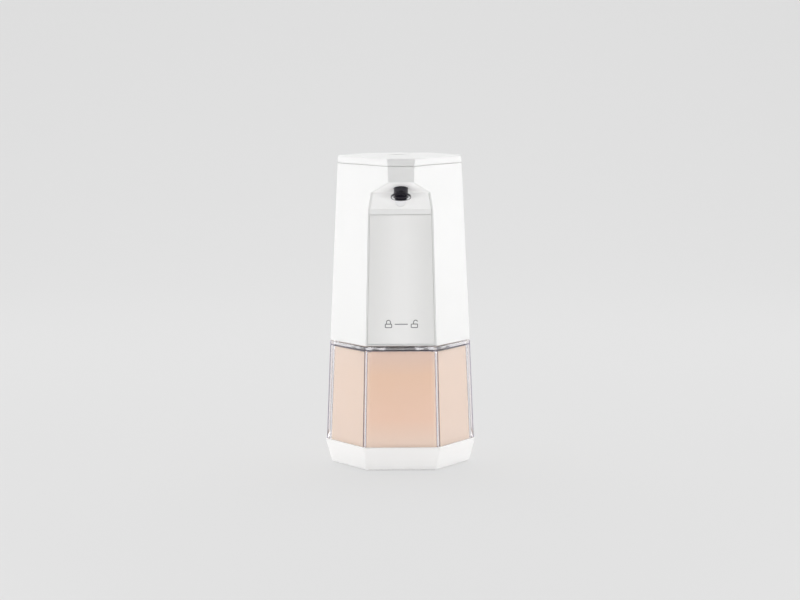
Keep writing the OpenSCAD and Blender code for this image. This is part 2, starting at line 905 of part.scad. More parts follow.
module top_lid() {
  color(white)
    difference() {
      union() {
        hull() {
          head_level(z_seam + seam_t, reach(z_seam + seam_t), 0);
          for (k = [0:4])
            head_level(z_top - lid_round * (1 - sin(22.5 * k)) - eps, reach(z_top),
                       lid_round * (1 - cos(22.5 * k)));
        }
        lid_form(seam_in, z_seam, z_seam + seam_t + fit);
        lid_form(shell_wall + fit, z_seam - lid_rim_h, z_seam + seam_t);
      }
      difference() {
        lid_form(shell_wall + fit + lid_rim_t, z_seam - lid_rim_h - over, z_plate);
        translate([0, 0, z_plate - well_d])
          cylinder(r = button_r + flange_out + flange_play + well_wall, h = well_d + over);
      }
      translate([0, 0, z_plate - well_d - over])
        cylinder(r = button_r + flange_out + flange_play, h = well_d + over);
      translate([0, 0, z_plate - over])
        cylinder(r = button_r + fit, h = lid_wall + 2 * over);
    }
}

module power_button() {
  color(white) {
    difference() {
      translate([0, 0, z_flange_low])
        cylinder(r = button_r, h = z_top - button_low - z_flange_low);
      translate([0, 0, z_top + dish_r - dish_d])
        sphere(r = dish_r, $fn = 96);
    }
    translate([0, 0, z_flange_low])
      cylinder(r = button_r + flange_out, h = flange_h);
    translate([0, 0, z_stem])
      cylinder(r = stem_r, h = stem_h + eps);
  }
}

module switch_plunger() {
  color(dark)
    translate([0, 0, z_switch0 + switch_floor + button_travel + plunger_room])
      cylinder(r = plunger_r, h = z_stem - z_switch0 - switch_floor - button_travel - plunger_room);
}

module tact_switch() {
  color(dark)
    difference() {
      translate([-switch_w / 2, -switch_w / 2, z_switch0])
        cube([switch_w, switch_w, switch_h]);
      translate([0, 0, z_switch0 + switch_floor])
        cylinder(r = plunger_r + run, h = switch_h);
    }
}

module switch_board() {
  color(green)
    difference() {
      translate([-switch_board_w / 2, -switch_board_d / 2, z_shelf1])
        cube([switch_board_w, switch_board_d, pcb_t]);
      for (s = [-1, 1])
        translate([s * switch_screw_x, switch_screw_y, z_shelf1 - over])
          cylinder(r = switch_screw_r + run, h = pcb_t + 2 * over);
    }
}

module switch_screws() {
  color(steel)
    for (s = [-1, 1])
      translate([s * switch_screw_x, switch_screw_y, z_shelf1 + pcb_t])
        rotate([180, 0, 0])
          screw_up(switch_screw_head, switch_screw_head / 1.4, switch_screw_r, pcb_t + deck_t * 0.8);
}

module nozzle() {
  color(dark)
    at_nozzle()
      difference() {
        union() {
          translate([0, 0, -nozzle_l])
            cylinder(r = nozzle_r, h = nozzle_l + nozzle_in);
          translate([0, 0, -nozzle_l])
            cylinder(r = nozzle_flange_r, h = nozzle_flange_t);
          translate([0, 0, nozzle_in - eps])
            cylinder(r = nozzle_spigot_r, h = spigot_l);
        }
        translate([0, 0, -nozzle_l - over])
          cylinder(r = nozzle_bore, h = nozzle_l + over - nozzle_plug);
        translate([0, 0, -nozzle_l])
          rotate_extrude()
            polygon([[0, -over], [ring_out + run, -over], [ring_out + run, ring_t],
                     [ring_in + run, ring_h + ring_t], [nozzle_bore, nozzle_flange_t], [0, nozzle_flange_t]]);
        translate([0, 0, -nozzle_l])
          cylinder(r = port_r, h = nozzle_l + nozzle_in + spigot_l + over);
      }
}

// Bright funnel ring let into the nozzle's end
module nozzle_ring() {
  color(steel)
    at_nozzle()
      translate([0, 0, -nozzle_l])
        rotate_extrude()
          polygon([[ring_out, 0], [ring_out, ring_t], [ring_in, ring_h + ring_t], [ring_in, ring_h]]);
}

module nozzle_nut() {
  color(grey)
    at_nozzle()
      translate([0, 0, skin_t + run])
        difference() {
          cylinder(r = nozzle_r + nut_out, h = nut_t, $fn = 6);
          translate([0, 0, -over])
            cylinder(r = nozzle_r + run, h = nut_t + 2 * over);
        }
}

module nozzle_elbow() {
  color(grey)
    difference() {
      union() {
        at_nozzle()
          translate([0, 0, nozzle_in + 2 * run])
            cylinder(r = elbow_r, h = elbow_h);
        ahead(0, z_in, hose_y + bend_r + barb_gap, y_in, barb_r);
      }
      at_nozzle() {
        translate([0, 0, nozzle_in - over])
          cylinder(r = nozzle_spigot_r + run, h = over + spigot_l + fit);
        cylinder(r = port_r, h = elbow_s + port_r);
      }
      ahead(0, z_in, hose_y + bend_r - over, y_in, cross_bore);
    }
}

// Quarter bend of hose in the middle plane, from flat to upright
module hose_bend() {
  rotate([90, 0, -90])
    rotate_extrude(angle = 90)
      translate([bend_r, 0])
        difference() {
          circle(r = hose_r);
          circle(r = hose_bore);
        }
}

module hose_bar(z, y0, y1) {
  difference() {
    ahead(0, z, y0, y1, hose_r);
    ahead(0, z, y0 - over, y1 + over, hose_bore);
  }
}

module outlet_hose() {
  color([0.80, 0.82, 0.84]) {
    hose_bar(z_out, pump_front + barb_gap, hose_y - bend_r);
    translate([0, -hose_y + bend_r, z_out + bend_r])
      rotate([90, 0, 0])
        hose_bend();
    translate([0, -hose_y, z_out + bend_r])
      difference() {
        cylinder(r = hose_r, h = z_in - z_out - 2 * bend_r + eps);
        translate([0, 0, -over])
          cylinder(r = hose_bore, h = z_in);
      }
    translate([0, -hose_y - bend_r, z_in - bend_r])
      rotate([-90, 0, 0])
        hose_bend();
    hose_bar(z_in, hose_y + bend_r - eps, y_in - elbow_r / cos(ceiling_tilt) - hose_stop);
  }
}

module sensor_window() {
  color([0.85, 0.85, 0.88])
    intersection() {
      difference() {
        front_space(insert_t - run);
        front_space(0);
      }
      wide_slot(ir_pitch / 2 - window_in, window_r, sensor_y1, wall_y(z_sensor) + window_r, z_sensor);
    }
}

module sensor_board() {
  color(green)
    difference() {
      translate([-sensor_w / 2, -sensor_y1, z_sensor - sensor_h / 2])
        cube([sensor_w, pcb_t, sensor_h]);
      for (s = [-1, 1])
        ahead(s * sensor_hole_x, z_sensor, sensor_y0 - over, sensor_y1 + over, sensor_screw_r + run);
    }
}

module ir_diode(x) {
  ahead(x, z_sensor, sensor_y1, sensor_y1 + diode_l / 3, diode_r + diode_rim);
  ahead(x, z_sensor, sensor_y1, sensor_y1 + diode_l, diode_r);
  translate([x, -sensor_y1 - diode_l, z_sensor])
    sphere(r = diode_r);
}

module ir_emitter() {
  color([0.80, 0.84, 0.92])
    ir_diode(-ir_pitch / 2);
}

module ir_receiver() {
  color(dark)
    ir_diode(ir_pitch / 2);
}

module sensor_screws() {
  color(steel)
    for (s = [-1, 1])
      translate([s * sensor_hole_x, -sensor_y0, z_sensor])
        rotate([90, 0, 0])
          screw_up(sensor_screw_head, sensor_screw_head / 1.5, sensor_screw_r, pcb_t + sensor_thread);
}

module battery_clip(z) {
  translate([batt_x, batt_y, z])
    difference() {
      cylinder(r = batt_r + clip_wall, h = clip_h);
      translate([0, 0, -over])
        cylinder(r = batt_r + fit, h = clip_h + 2 * over);
      translate([-batt_r - clip_wall - over, -batt_r - clip_wall - over, -over])
        cube([2 * (batt_r + clip_wall + over), batt_r, clip_h + 2 * over]);
    }
}

module chassis() {
  color([0.82, 0.82, 0.82])
    difference() {
      union() {
        translate([-foot_w, -foot_front, z_ceil1])
          cube([2 * foot_w, foot_front + spine_y1, foot_t]);
        translate([-spine_w, spine_y0, z_ceil1])
          cube([2 * spine_w, spine_t, z_shelf1 - z_ceil1]);
        translate([-pump_hx, mesh_y - pump_hy, z_p0 - deck_t])
          cube([2 * pump_hx, 2 * pump_hy, deck_t]);
        translate([-pump_hx, mesh_y, z_p0 - deck_t])
          cube([pump_hx + batt_x - batt_r - clip_wall - hose_gap, spine_y0 - mesh_y + over, deck_t]);
        translate([-shelf_w, -shelf_w, z_shelf0])
          cube([2 * shelf_w, shelf_w + spine_y0 + over, deck_t]);
        for (s = [-1, 1])
          translate([s * shelf_rib_x - rib_t / 2, spine_y0 - rib_l, z_shelf0 - rib_h])
            cube([rib_t, rib_l + over, rib_h + deck_t / 4]);
        translate([-pump_hx, spine_y0 - rib_l, z_foot - eps])
          cube([rib_t, rib_l + over, z_p0 - deck_t / 2 - z_foot]);
        battery_clip(z_foot + clip_up);
        battery_clip(z_batt1 - clip_up - clip_h);
        for (p = board_screws_xz)
          translate([p[0], board_y0, p[1]])
            rotate([90, 0, 0])
              cylinder(r = board_boss_r, h = board_boss_l + over);
      }
      translate([0, 0, z_ceil1 - over])
        cylinder(r = hose_r + hose_gap, h = z_p0);
      for (p = chassis_screws_xy)
        translate([p[0], p[1], z_ceil1 - over])
          cylinder(r = screw_r + run, h = foot_t + 2 * over);
      for (p = board_screws_xz)
        ahead(p[0], p[1], -board_y0 - over, -board_y0 + board_thread + tip_room / 2, board_screw_r + run);
      for (sx = [-1, 1], sy = [-1, 1])
        translate([sx * pump_screw_x, mesh_y + sy * pump_screw_y, z_p0 - deck_t - over])
          cylinder(r = pump_screw_r + run, h = deck_t + 2 * over);
      for (s = [-1, 1])
        translate([s * switch_screw_x, switch_screw_y, z_shelf0 - over])
          cylinder(r = switch_screw_r + run, h = deck_t + 2 * over);
      translate([conn_x[0] - conn_w / 2 - conn_room, spine_y0 - over, z_conn - conn_h / 2 - conn_room])
        cube([conn_x[2] - conn_x[0] + conn_w + 2 * conn_room, spine_t + 2 * over, conn_h + 2 * conn_room]);
    }
}

module chassis_screws() {
  color(steel)
    for (p = chassis_screws_xy)
      translate([p[0], p[1], z_foot])
        rotate([180, 0, 0])
          screw_up(screw_head, counterbore, screw_r, foot_t + thread_l);
}

module main_board() {
  color(green)
    difference() {
      translate([-board_w, board_y0, z_b0])
        cube([2 * board_w, pcb_t, board_h]);
      for (p = board_screws_xz)
        ahead(p[0], p[1], -board_y1 - over, -board_y0 + over, board_screw_r + run);
    }
}

module board_components() {
  color(dark) {
    translate([-chip_w / 2, board_y1, z_b0 + board_h * 0.45])
      cube([chip_w, chip_t, chip_w]);
    translate([board_w * 0.4, board_y1, z_b0 + board_h / 3])
      cube([chip_w * 0.6, chip_t, chip_w / 2]);
    translate([-board_w * 0.66, board_y1, z_b0 + board_h * 0.3])
      cube([chip_w / 2, chip_t * 1.5, chip_w / 2]);
    for (k = [-2:1])
      translate([k * chip_w * 0.6, board_y1, z_b0 + board_h * 0.7])
        cube([chip_w / 5, chip_t * 0.6, chip_w / 8]);
    translate([board_w * 0.5, board_y1, z_b0 + board_h * 0.66])
      rotate([-90, 0, 0])
        cylinder(r = chip_w * 0.3, h = chip_t * 2.4);
    for (x = conn_x)
      translate([x - conn_w / 2, y_conn, z_conn - conn_h / 2])
        cube([conn_w, conn_t, conn_h]);
  }
}

module board_screws() {
  color(steel)
    for (p = board_screws_xz)
      translate([p[0], board_y1, p[1]])
        rotate([90, 0, 0])
          screw_up(board_screw_head, board_screw_head / 1.4, board_screw_r, pcb_t + board_thread);
}

module charge_socket() {
  color(steel)
    translate([0, board_y1, z_usb]) {
      difference() {
        translate([-usb_w / 2, 0, -usb_t / 2])
          cube([usb_w, usb_l, usb_t]);
        translate([usb_skin - usb_w / 2, usb_back, usb_skin - usb_t / 2])
          cube([usb_w - 2 * usb_skin, usb_l, usb_t - 2 * usb_skin]);
      }
      translate([-usb_w * 0.37, usb_back / 2, -usb_t / 9])
        cube([usb_w * 0.74, usb_l - 2 * usb_back, usb_t / 4.5]);
    }
}

module port_cover() {
  color(rubber)
    on_back() {
      translate([-cover_w / 2, -cover_t, -cover_h / 2])
        cube([cover_w, cover_t, cover_h - cover_t / 2]);
      translate([0, -cover_t / 2, hinge_z])
        rotate([0, 90, 0])
          cylinder(r = cover_t / 2, h = cover_w, center = true);
      translate([0, -cover_t / 2, hinge_z])
        rotate([0, 90, 0])
          cylinder(r = cover_pin_r, h = cover_w + 2 * cover_pin_l, center = true);
    }
}

module battery_cell() {
  color([0.20, 0.42, 0.62])
    translate([batt_x, batt_y, z_foot]) {
      cylinder(r = batt_r, h = batt_l - batt_cap_h);
      cylinder(r = batt_cap_r, h = batt_l);
    }
}

module battery_leads() {
  color([0.75, 0.10, 0.10])
    for (s = [-1, 1])
      wire(curve([batt_x, batt_y + s * lead_gap, z_batt1],
                 [batt_x, batt_y + s * lead_gap, z_batt1 + lead_rise - s * 2 * lead_gap],
                 [conn_x[2], batt_y - conn_h, z_conn - s * lead_gap],
                 [conn_x[2], y_conn, z_conn - s * lead_gap], 16),
           lead_r);
}

module motor_leads() {
  color([0.15, 0.15, 0.15])
    for (s = [-1, 1])
      wire(curve([s * terminal_x - pitch_r, mesh_y, z_terminal],
                 [s * terminal_x - pitch_r, mesh_y, z_conn + 2 * lead_gap],
                 [conn_x[0] + s * lead_gap, mesh_y + conn_w, z_conn],
                 [conn_x[0] + s * lead_gap, y_conn, z_conn], 16),
           lead_r);
}

module sensor_leads() {
  color([0.80, 0.80, 0.20])
    for (s = [-1, 1])
      wire(curve([lead_x + s * lead_gap, -sensor_y0, z_sensor + sensor_h / 3],
                 [lead_x + s * lead_gap, rib_l - sensor_y0, z_sensor + sensor_h / 3],
                 [conn_x[1] + s * lead_gap, 0, z_conn],
                 [conn_x[1] + s * lead_gap, y_conn, z_conn], 16),
           lead_r);
}

module motor_can() {
  color(steel)
    translate([-pitch_r, mesh_y, z_p2])
      difference() {
        union() {
          cylinder(r = motor_r, h = motor_l);
          translate([0, 0, -can_boss_h])
            cylinder(r = can_boss_r, h = can_boss_h + can_face / 2);
        }
        translate([0, 0, can_face])
          cylinder(r = motor_r - can_wall, h = motor_l);
        translate([0, 0, -can_boss_h - over])
          cylinder(r = shaft_r + run, h = can_boss_h + can_face + 2 * over);
      }
}

module motor_end_cap() {
  color(dark)
    translate([-pitch_r, mesh_y, z_motor_top])
      difference() {
        union() {
          translate([0, 0, -plug_h])
            cylinder(r = motor_r - can_wall - run, h = plug_h + cap_t / 2);
          cylinder(r = motor_r, h = cap_t);
          for (s = [-1, 1])
            translate([s * terminal_x - terminal_w / 2, -terminal_t / 2, cap_t / 2])
              cube([terminal_w, terminal_t, terminal_h - cap_t / 2]);
        }
        translate([0, 0, -plug_h - over])
          cylinder(r = shaft_r + run, h = plug_h + over + cap_t / 2);
      }
}

module motor_magnets() {
  color([0.25, 0.25, 0.27])
    translate([-pitch_r, mesh_y, z_p2 + magnet_low])
      for (a = [0, 180])
        rotate([0, 0, a - 60])
          rotate_extrude(angle = 120)
            translate([motor_r - can_wall - run - magnet_t, 0])
              square([magnet_t, motor_l - magnet_low - plug_h - 2 * over]);
}

module motor_armature() {
  color([0.62, 0.36, 0.20])
    translate([-pitch_r, mesh_y, z_p2 + magnet_low + over])
      difference() {
        cylinder(r = motor_r - can_wall - magnet_t - air_gap, h = motor_l - magnet_low - plug_h - 4 * over);
        translate([0, 0, -over])
          cylinder(r = shaft_r + press, h = motor_l);
        for (a = [0, 120, 240])
          rotate([0, 0, a])
            translate([motor_r / 2, -coil_slot / 2, -over])
              cube([motor_r / 2, coil_slot, motor_l]);
        for (a = [0, 120, 240])
          rotate([0, 0, a])
            translate([motor_r * 0.42, 0, -over])
              cylinder(r = coil_slot, h = motor_l);
      }
}

module motor_shaft() {
  color(steel)
    translate([-pitch_r, mesh_y, z_p1 + 2 * run])
      cylinder(r = shaft_r, h = z_motor_top - z_p1 - 4 * run);
}

module shaft_seal() {
  color(rubber)
    translate([-pitch_r, mesh_y, z_p2 - can_boss_h - run - seal_t])
      difference() {
        cylinder(r = seal_r, h = seal_t);
        translate([0, 0, -over])
          cylinder(r = shaft_r + run, h = seal_t + 2 * over);
      }
}

module pump_block(z0, z1) {
  translate([-pump_hx, mesh_y - pump_hy, z0])
    cube([2 * pump_hx, 2 * pump_hy, z1 - z0]);
}

module pump_body() {
  color([0.88, 0.88, 0.86])
    difference() {
      union() {
        pump_block(z_p1, z_p2);
        ahead(0, z_out, pump_front - over, pump_front + out_barb_l, barb_r);
      }
      for (s = [-1, 1])
        translate([s * pitch_r, mesh_y, z_p1 - over])
          cylinder(r = chamber_r, h = z_chamber - z_p1 + over);
      translate([-port_r, mesh_y, z_p1 - over])
        cube([2 * port_r, port_off + port_r, over + gear_w / 2]);
      ahead(0, z_out, port_off, pump_front + out_barb_l + over, port_r);
      translate([-pitch_r, mesh_y, z_chamber - over])
        cylinder(r = shaft_r + run, h = pump_plate + 2 * over);
      translate([-pitch_r, mesh_y, z_p2 - can_boss_h - run]) {
        translate([0, 0, -seal_t])
          cylinder(r = seal_r + run, h = seal_t);
        cylinder(r = can_boss_r + run, h = can_boss_h + over);
      }
      translate([pitch_r, mesh_y, z_p1])
        cylinder(r = idler_pin_r + run / 2, h = z_chamber - z_p1 + pin_sunk);
      for (sx = [-1, 1], sy = [-1, 1])
        translate([sx * pump_screw_x, mesh_y + sy * pump_screw_y, z_p1 - over])
          cylinder(r = pump_screw_r + run, h = pump_thread + 2 * over);
    }
}

module pump_cover() {
  color([0.88, 0.88, 0.86])
    difference() {
      union() {
        pump_block(z_p0, z_p1);
        translate([0, 0, z_p0 - barb_l])
          cylinder(r = barb_r, h = barb_l + over);
      }
      translate([0, 0, z_p0 - barb_l - over])
        cylinder(r = port_r, h = barb_l + pump_plate + 2 * over);
      translate([pitch_r, mesh_y, z_p1 - pin_sunk])
        cylinder(r = idler_pin_r + run / 2, h = pin_sunk + over);
      for (sx = [-1, 1], sy = [-1, 1])
        translate([sx * pump_screw_x, mesh_y + sy * pump_screw_y, z_p0 - over])
          cylinder(r = pump_screw_r + run, h = pump_plate + 2 * over);
    }
}

module pump_screws() {
  color(steel)
    for (sx = [-1, 1], sy = [-1, 1])
      translate([sx * pump_screw_x, mesh_y + sy * pump_screw_y, z_p0 - deck_t])
        screw_up(pump_screw_head, pump_screw_head / 1.4, pump_screw_r, deck_t + pump_plate + pump_thread);
}

module drive_gear() {
  color(steel)
    translate([-pitch_r, mesh_y, z_p1 + end_play])
      difference() {
        linear_extrude(gear_w)
          gear_outline();
        translate([0, 0, -over])
          cylinder(r = shaft_r + press, h = gear_w + 2 * over);
      }
}

module idler_gear() {
  color(steel)
    translate([pitch_r, mesh_y, z_p1 + end_play])
      rotate([0, 0, 180 + 180 / teeth])
        difference() {
          linear_extrude(gear_w)
            gear_outline();
          translate([0, 0, -over])
            cylinder(r = idler_pin_r + run, h = gear_w + 2 * over);
        }
}

module idler_pin() {
  color(steel)
    translate([pitch_r, mesh_y, z_p1 - pin_sunk])
      cylinder(r = idler_pin_r, h = z_chamber - z_p1 + 2 * pin_sunk);
}

base_shell();
foot_pad();
bottle();
sanitizer_fill();
neck_gasket();
bottle_socket();
socket_screws();
dip_tube();
inlet_hose();
head_shell();
front_panel();
spout_bezel();
top_lid();
power_button();
switch_plunger();
tact_switch();
switch_board();
switch_screws();
nozzle();
nozzle_ring();
nozzle_nut();
nozzle_elbow();
outlet_hose();
sensor_window();
sensor_board();
ir_emitter();
ir_receiver();
sensor_screws();
chassis();
chassis_screws();
main_board();
board_components();
board_screws();
charge_socket();
port_cover();
battery_cell();
battery_leads();
motor_leads();
sensor_leads();
motor_can();
motor_end_cap();
motor_magnets();
motor_armature();
motor_shaft();
shaft_seal();
pump_body();
pump_cover();
pump_screws();
drive_gear();
idler_gear();
idler_pin();
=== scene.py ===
# Finishes, printed signs, stage, lights and camera for a touch-free hand sanitizer dispenser.
import math

import bmesh
import bpy
from mathutils import Matrix, Vector


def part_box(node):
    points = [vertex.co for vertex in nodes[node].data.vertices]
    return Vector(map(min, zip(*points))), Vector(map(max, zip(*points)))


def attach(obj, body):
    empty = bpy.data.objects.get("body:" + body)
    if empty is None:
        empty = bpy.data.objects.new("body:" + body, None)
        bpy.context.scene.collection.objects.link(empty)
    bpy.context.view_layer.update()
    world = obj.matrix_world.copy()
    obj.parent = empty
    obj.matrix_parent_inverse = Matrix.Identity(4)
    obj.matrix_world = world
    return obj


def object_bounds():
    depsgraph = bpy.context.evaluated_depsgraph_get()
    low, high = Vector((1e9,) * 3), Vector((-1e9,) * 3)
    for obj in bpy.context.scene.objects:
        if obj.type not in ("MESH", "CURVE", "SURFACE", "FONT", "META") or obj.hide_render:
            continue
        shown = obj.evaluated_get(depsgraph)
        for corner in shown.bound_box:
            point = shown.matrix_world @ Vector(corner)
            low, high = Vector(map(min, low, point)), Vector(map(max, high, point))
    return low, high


MM = 0.001

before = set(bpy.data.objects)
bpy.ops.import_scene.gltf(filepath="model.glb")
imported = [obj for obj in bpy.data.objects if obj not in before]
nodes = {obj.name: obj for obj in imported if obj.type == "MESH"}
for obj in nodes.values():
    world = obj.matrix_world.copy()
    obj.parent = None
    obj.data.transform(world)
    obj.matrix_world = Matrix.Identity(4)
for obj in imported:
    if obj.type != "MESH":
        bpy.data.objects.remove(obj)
cad_low, cad_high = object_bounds()


# Shader helpers

# Kinds of sockets on a node group
NUMBER = "NodeSocketFloat"
COLOUR = "NodeSocketColor"
DIRECTION = "NodeSocketVector"

# Places of the sockets on a Mix node that blends colours
MIX_FACTOR = 0
MIX_UNDER = 6
MIX_OVER = 7
MIX_RESULT = 2

# Noise stays mostly within 0.25 of its middle, so this gain brings it to about plus or minus one
NOISE_MIDDLE = 0.5
NOISE_GAIN = 4.0


def opaque(colour):
    """A colour with the full alpha that a colour socket takes."""
    return (*colour, 1.0)


def feed(tree, socket, value):
    """Links another socket to a socket, or sets a plain value on it."""
    if isinstance(value, bpy.types.NodeSocket):
        tree.links.new(value, socket)
    else:
        socket.default_value = value


def set_sockets(node, values):
    """Sets plain values on a node's sockets; a name's underscores stand for blanks."""
    for label, value in values.items():
        node.inputs[label.replace("_", " ")].default_value = value


def math_node(tree, operation, a, b=0.0):
    """One Math node; a and b are sockets or numbers."""
    node = tree.nodes.new("ShaderNodeMath")
    node.operation = operation
    feed(tree, node.inputs[0], a)
    feed(tree, node.inputs[1], b)
    return node.outputs[0]


def blend_colours(tree, factor, under, over, kind="MIX"):
    """One colour Mix node; under and over are sockets or colours with alpha."""
    node = tree.nodes.new("ShaderNodeMix")
    node.data_type = "RGBA"
    node.blend_type = kind
    feed(tree, node.inputs[MIX_FACTOR], factor)
    feed(tree, node.inputs[MIX_UNDER], under)
    feed(tree, node.inputs[MIX_OVER], over)
    return node.outputs[MIX_RESULT]


def rising_mask(tree, value, start, full):
    """Nought where a value is at start, one where it is at full."""
    rise = tree.nodes.new("ShaderNodeMapRange")
    feed(tree, rise.inputs["Value"], value)
    feed(tree, rise.inputs["From Min"], start)
    feed(tree, rise.inputs["From Max"], full)
    return rise.outputs["Result"]


def surface_axes(tree, kind):
    """X, Y and Z of a texture coordinate such as Normal, Object or Generated."""
    parts = tree.nodes.new("ShaderNodeSeparateXYZ")
    coordinate = tree.nodes.new("ShaderNodeTexCoord").outputs[kind]
    tree.links.new(coordinate, parts.inputs["Vector"])
    return parts.outputs["X"], parts.outputs["Y"], parts.outputs["Z"]


def object_place(tree, **mapped):
    """Object coordinates, scaled or turned by a Mapping node where values for one are given."""
    place = tree.nodes.new("ShaderNodeTexCoord").outputs["Object"]
    if not mapped:
        return place
    mapping = tree.nodes.new("ShaderNodeMapping")
    set_sockets(mapping, mapped)
    tree.links.new(place, mapping.inputs["Vector"])
    return mapping.outputs["Vector"]


def noise(tree, scale, detail, **mapped):
    """Noise in object space; scale is in features per metre, as a number or a socket."""
    texture = tree.nodes.new("ShaderNodeTexNoise")
    feed(tree, texture.inputs["Scale"], scale)
    texture.inputs["Detail"].default_value = detail
    tree.links.new(object_place(tree, **mapped), texture.inputs["Vector"])
    return texture.outputs["Fac"]


def spread(tree, value, centre, width):
    """Stretches a noise value about its middle to centre plus or minus width."""
    swing = math_node(tree, "MULTIPLY", math_node(tree, "SUBTRACT", value, NOISE_MIDDLE), NOISE_GAIN)
    return math_node(tree, "ADD", math_node(tree, "MULTIPLY", swing, width), centre)


# Effects that several materials share


def start_group(name, inputs, outputs):
    """A shader node group with named sockets, and the sockets of its two end nodes."""
    group = bpy.data.node_groups.new(name, "ShaderNodeTree")
    for label, kind in inputs.items():
        group.interface.new_socket(label, in_out="INPUT", socket_type=kind)
    for label, kind in outputs.items():
        group.interface.new_socket(label, in_out="OUTPUT", socket_type=kind)
    return group, group.nodes.new("NodeGroupInput").outputs, group.nodes.new("NodeGroupOutput").inputs


def make_moulded_skin():
    """Moulded surface: faint colour clouds, uneven gloss and a fine grain."""
    group, given, put = start_group(
        "moulded_skin",
        {
            "Colour": COLOUR,
            "Clouding": NUMBER,
            "Roughness": NUMBER,
            "Gloss Spread": NUMBER,
            "Grain Scale": NUMBER,
        },
        {"Colour": COLOUR, "Roughness": NUMBER, "Grain": NUMBER},
    )
    darker = blend_colours(group, 1.0, given["Colour"], opaque((0.5, 0.5, 0.5)), "MULTIPLY")
    cloud = noise(group, scale=28.0, detail=3.0)
    amount = math_node(group, "MULTIPLY", cloud, given["Clouding"])
    group.links.new(blend_colours(group, amount, given["Colour"], darker), put["Colour"])
    wiped = noise(group, scale=160.0, detail=4.0, Scale=(1.0, 1.0, 0.35))
    group.links.new(spread(group, wiped, given["Roughness"], given["Gloss Spread"]), put["Roughness"])
    group.links.new(noise(group, scale=given["Grain Scale"], detail=3.0), put["Grain"])
    return group


def make_turned_metal():
    """Drawn or turned metal: fine streaks along one direction in tone and gloss."""
    group, given, put = start_group(
        "turned_metal",
        {"Colour": COLOUR, "Roughness": NUMBER, "Streaks": NUMBER},
        {"Colour": COLOUR, "Roughness": NUMBER, "Grain": NUMBER},
    )
    gloss_width = 0.06
    dull = blend_colours(group, 1.0, given["Colour"], opaque((0.6, 0.6, 0.62)), "MULTIPLY")
    streak = noise(group, scale=900.0, detail=3.0, Scale=(1.0, 1.0, 0.06))
    amount = math_node(group, "MULTIPLY", streak, given["Streaks"])
    group.links.new(blend_colours(group, amount, given["Colour"], dull), put["Colour"])
    group.links.new(spread(group, streak, given["Roughness"], gloss_width), put["Roughness"])
    group.links.new(streak, put["Grain"])
    return group


def make_facing_mask():
    """Rises as the surface turns to look along a direction; Start and Full are cosines."""
    group, given, put = start_group(
        "facing_mask", {"Direction": DIRECTION, "Start": NUMBER, "Full": NUMBER}, {"Mask": NUMBER}
    )
    facing = group.nodes.new("ShaderNodeVectorMath")
    facing.operation = "DOT_PRODUCT"
    normal = group.nodes.new("ShaderNodeTexCoord").outputs["Normal"]
    group.links.new(normal, facing.inputs[0])
    group.links.new(given["Direction"], facing.inputs[1])
    group.links.new(rising_mask(group, facing.outputs["Value"], given["Start"], given["Full"]), put["Mask"])
    return group


def make_off_centre_mask():
    """Changes from a piece's middle to its left and right ends; Start and Full are shares of its width."""
    group, given, put = start_group("off_centre_mask", {"Start": NUMBER, "Full": NUMBER}, {"Mask": NUMBER})
    middle = 0.5
    across, _, _ = surface_axes(group, "Generated")
    off_centre = math_node(group, "ABSOLUTE", math_node(group, "SUBTRACT", across, middle))
    group.links.new(rising_mask(group, off_centre, given["Start"], given["Full"]), put["Mask"])
    return group


MOULDED_SKIN = make_moulded_skin()
TURNED_METAL = make_turned_metal()
FACING_MASK = make_facing_mask()
OFF_CENTRE_MASK = make_off_centre_mask()


def place_group(tree, group, **values):
    """The outputs of a node group that is placed in a material with its own values."""
    node = tree.nodes.new("ShaderNodeGroup")
    node.node_tree = group
    set_sockets(node, values)
    return node.outputs


def start_material(name):
    """A material, its nodes and its Principled shader."""
    material = bpy.data.materials.new(name)
    material.use_nodes = True
    return material, material.node_tree, material.node_tree.nodes["Principled BSDF"]


def skinned(name, group, **values):
    """A material whose colour and gloss come from a surface group."""
    material, tree, shader = start_material(name)
    skin = place_group(tree, group, **values)
    tree.links.new(skin["Colour"], shader.inputs["Base Color"])
    tree.links.new(skin["Roughness"], shader.inputs["Roughness"])
    return material, tree, shader, skin


def add_bump(tree, shader, height, depth):
    """Raises the surface by a height mask; depth is in metres."""
    bump = tree.nodes.new("ShaderNodeBump")
    bump.inputs["Strength"].default_value = 1.0
    bump.inputs["Distance"].default_value = depth
    tree.links.new(height, bump.inputs["Height"])
    tree.links.new(bump.outputs["Normal"], shader.inputs["Normal"])


def shade_where(tree, shader, mask, colour):
    """Blends another colour over a material's own one where a mask is one."""
    own = shader.inputs["Base Color"].links[0].from_socket
    tree.links.new(blend_colours(tree, mask, own, opaque(colour)), shader.inputs["Base Color"])


def moulded(name, colour, roughness, clouding=0.03, gloss=0.04, grain=3500.0, depth=0.004 * MM):
    """A moulded plastic or rubber, its nodes and its shader; grain is in features per metre."""
    material, tree, shader, skin = skinned(
        name,
        MOULDED_SKIN,
        Colour=opaque(colour),
        Clouding=clouding,
        Roughness=roughness,
        Gloss_Spread=gloss,
        Grain_Scale=grain,
    )
    add_bump(tree, shader, skin["Grain"], depth)
    return material, tree, shader


def moulding(name, colour, roughness, **values):
    """A plain moulded plastic or rubber."""
    return moulded(name, colour, roughness, **values)[0]


def metal(name, colour, roughness, streaks=0.25):
    """A plain metal."""
    grain_depth = 0.002 * MM
    material, tree, shader, skin = skinned(
        name, TURNED_METAL, Colour=opaque(colour), Roughness=roughness, Streaks=streaks
    )
    add_bump(tree, shader, skin["Grain"], grain_depth)
    shader.inputs["Metallic"].default_value = 1.0
    return material


# Finishes


def white_moulded(name, colour):
    """One white housing plastic in one of four tones that are painted light and shade, all with the same
    gloss.
    """
    material, tree, shader = moulded(name, colour, roughness=0.34, clouding=0.025)
    shader.inputs["IOR"].default_value = 1.47
    return material, tree, shader


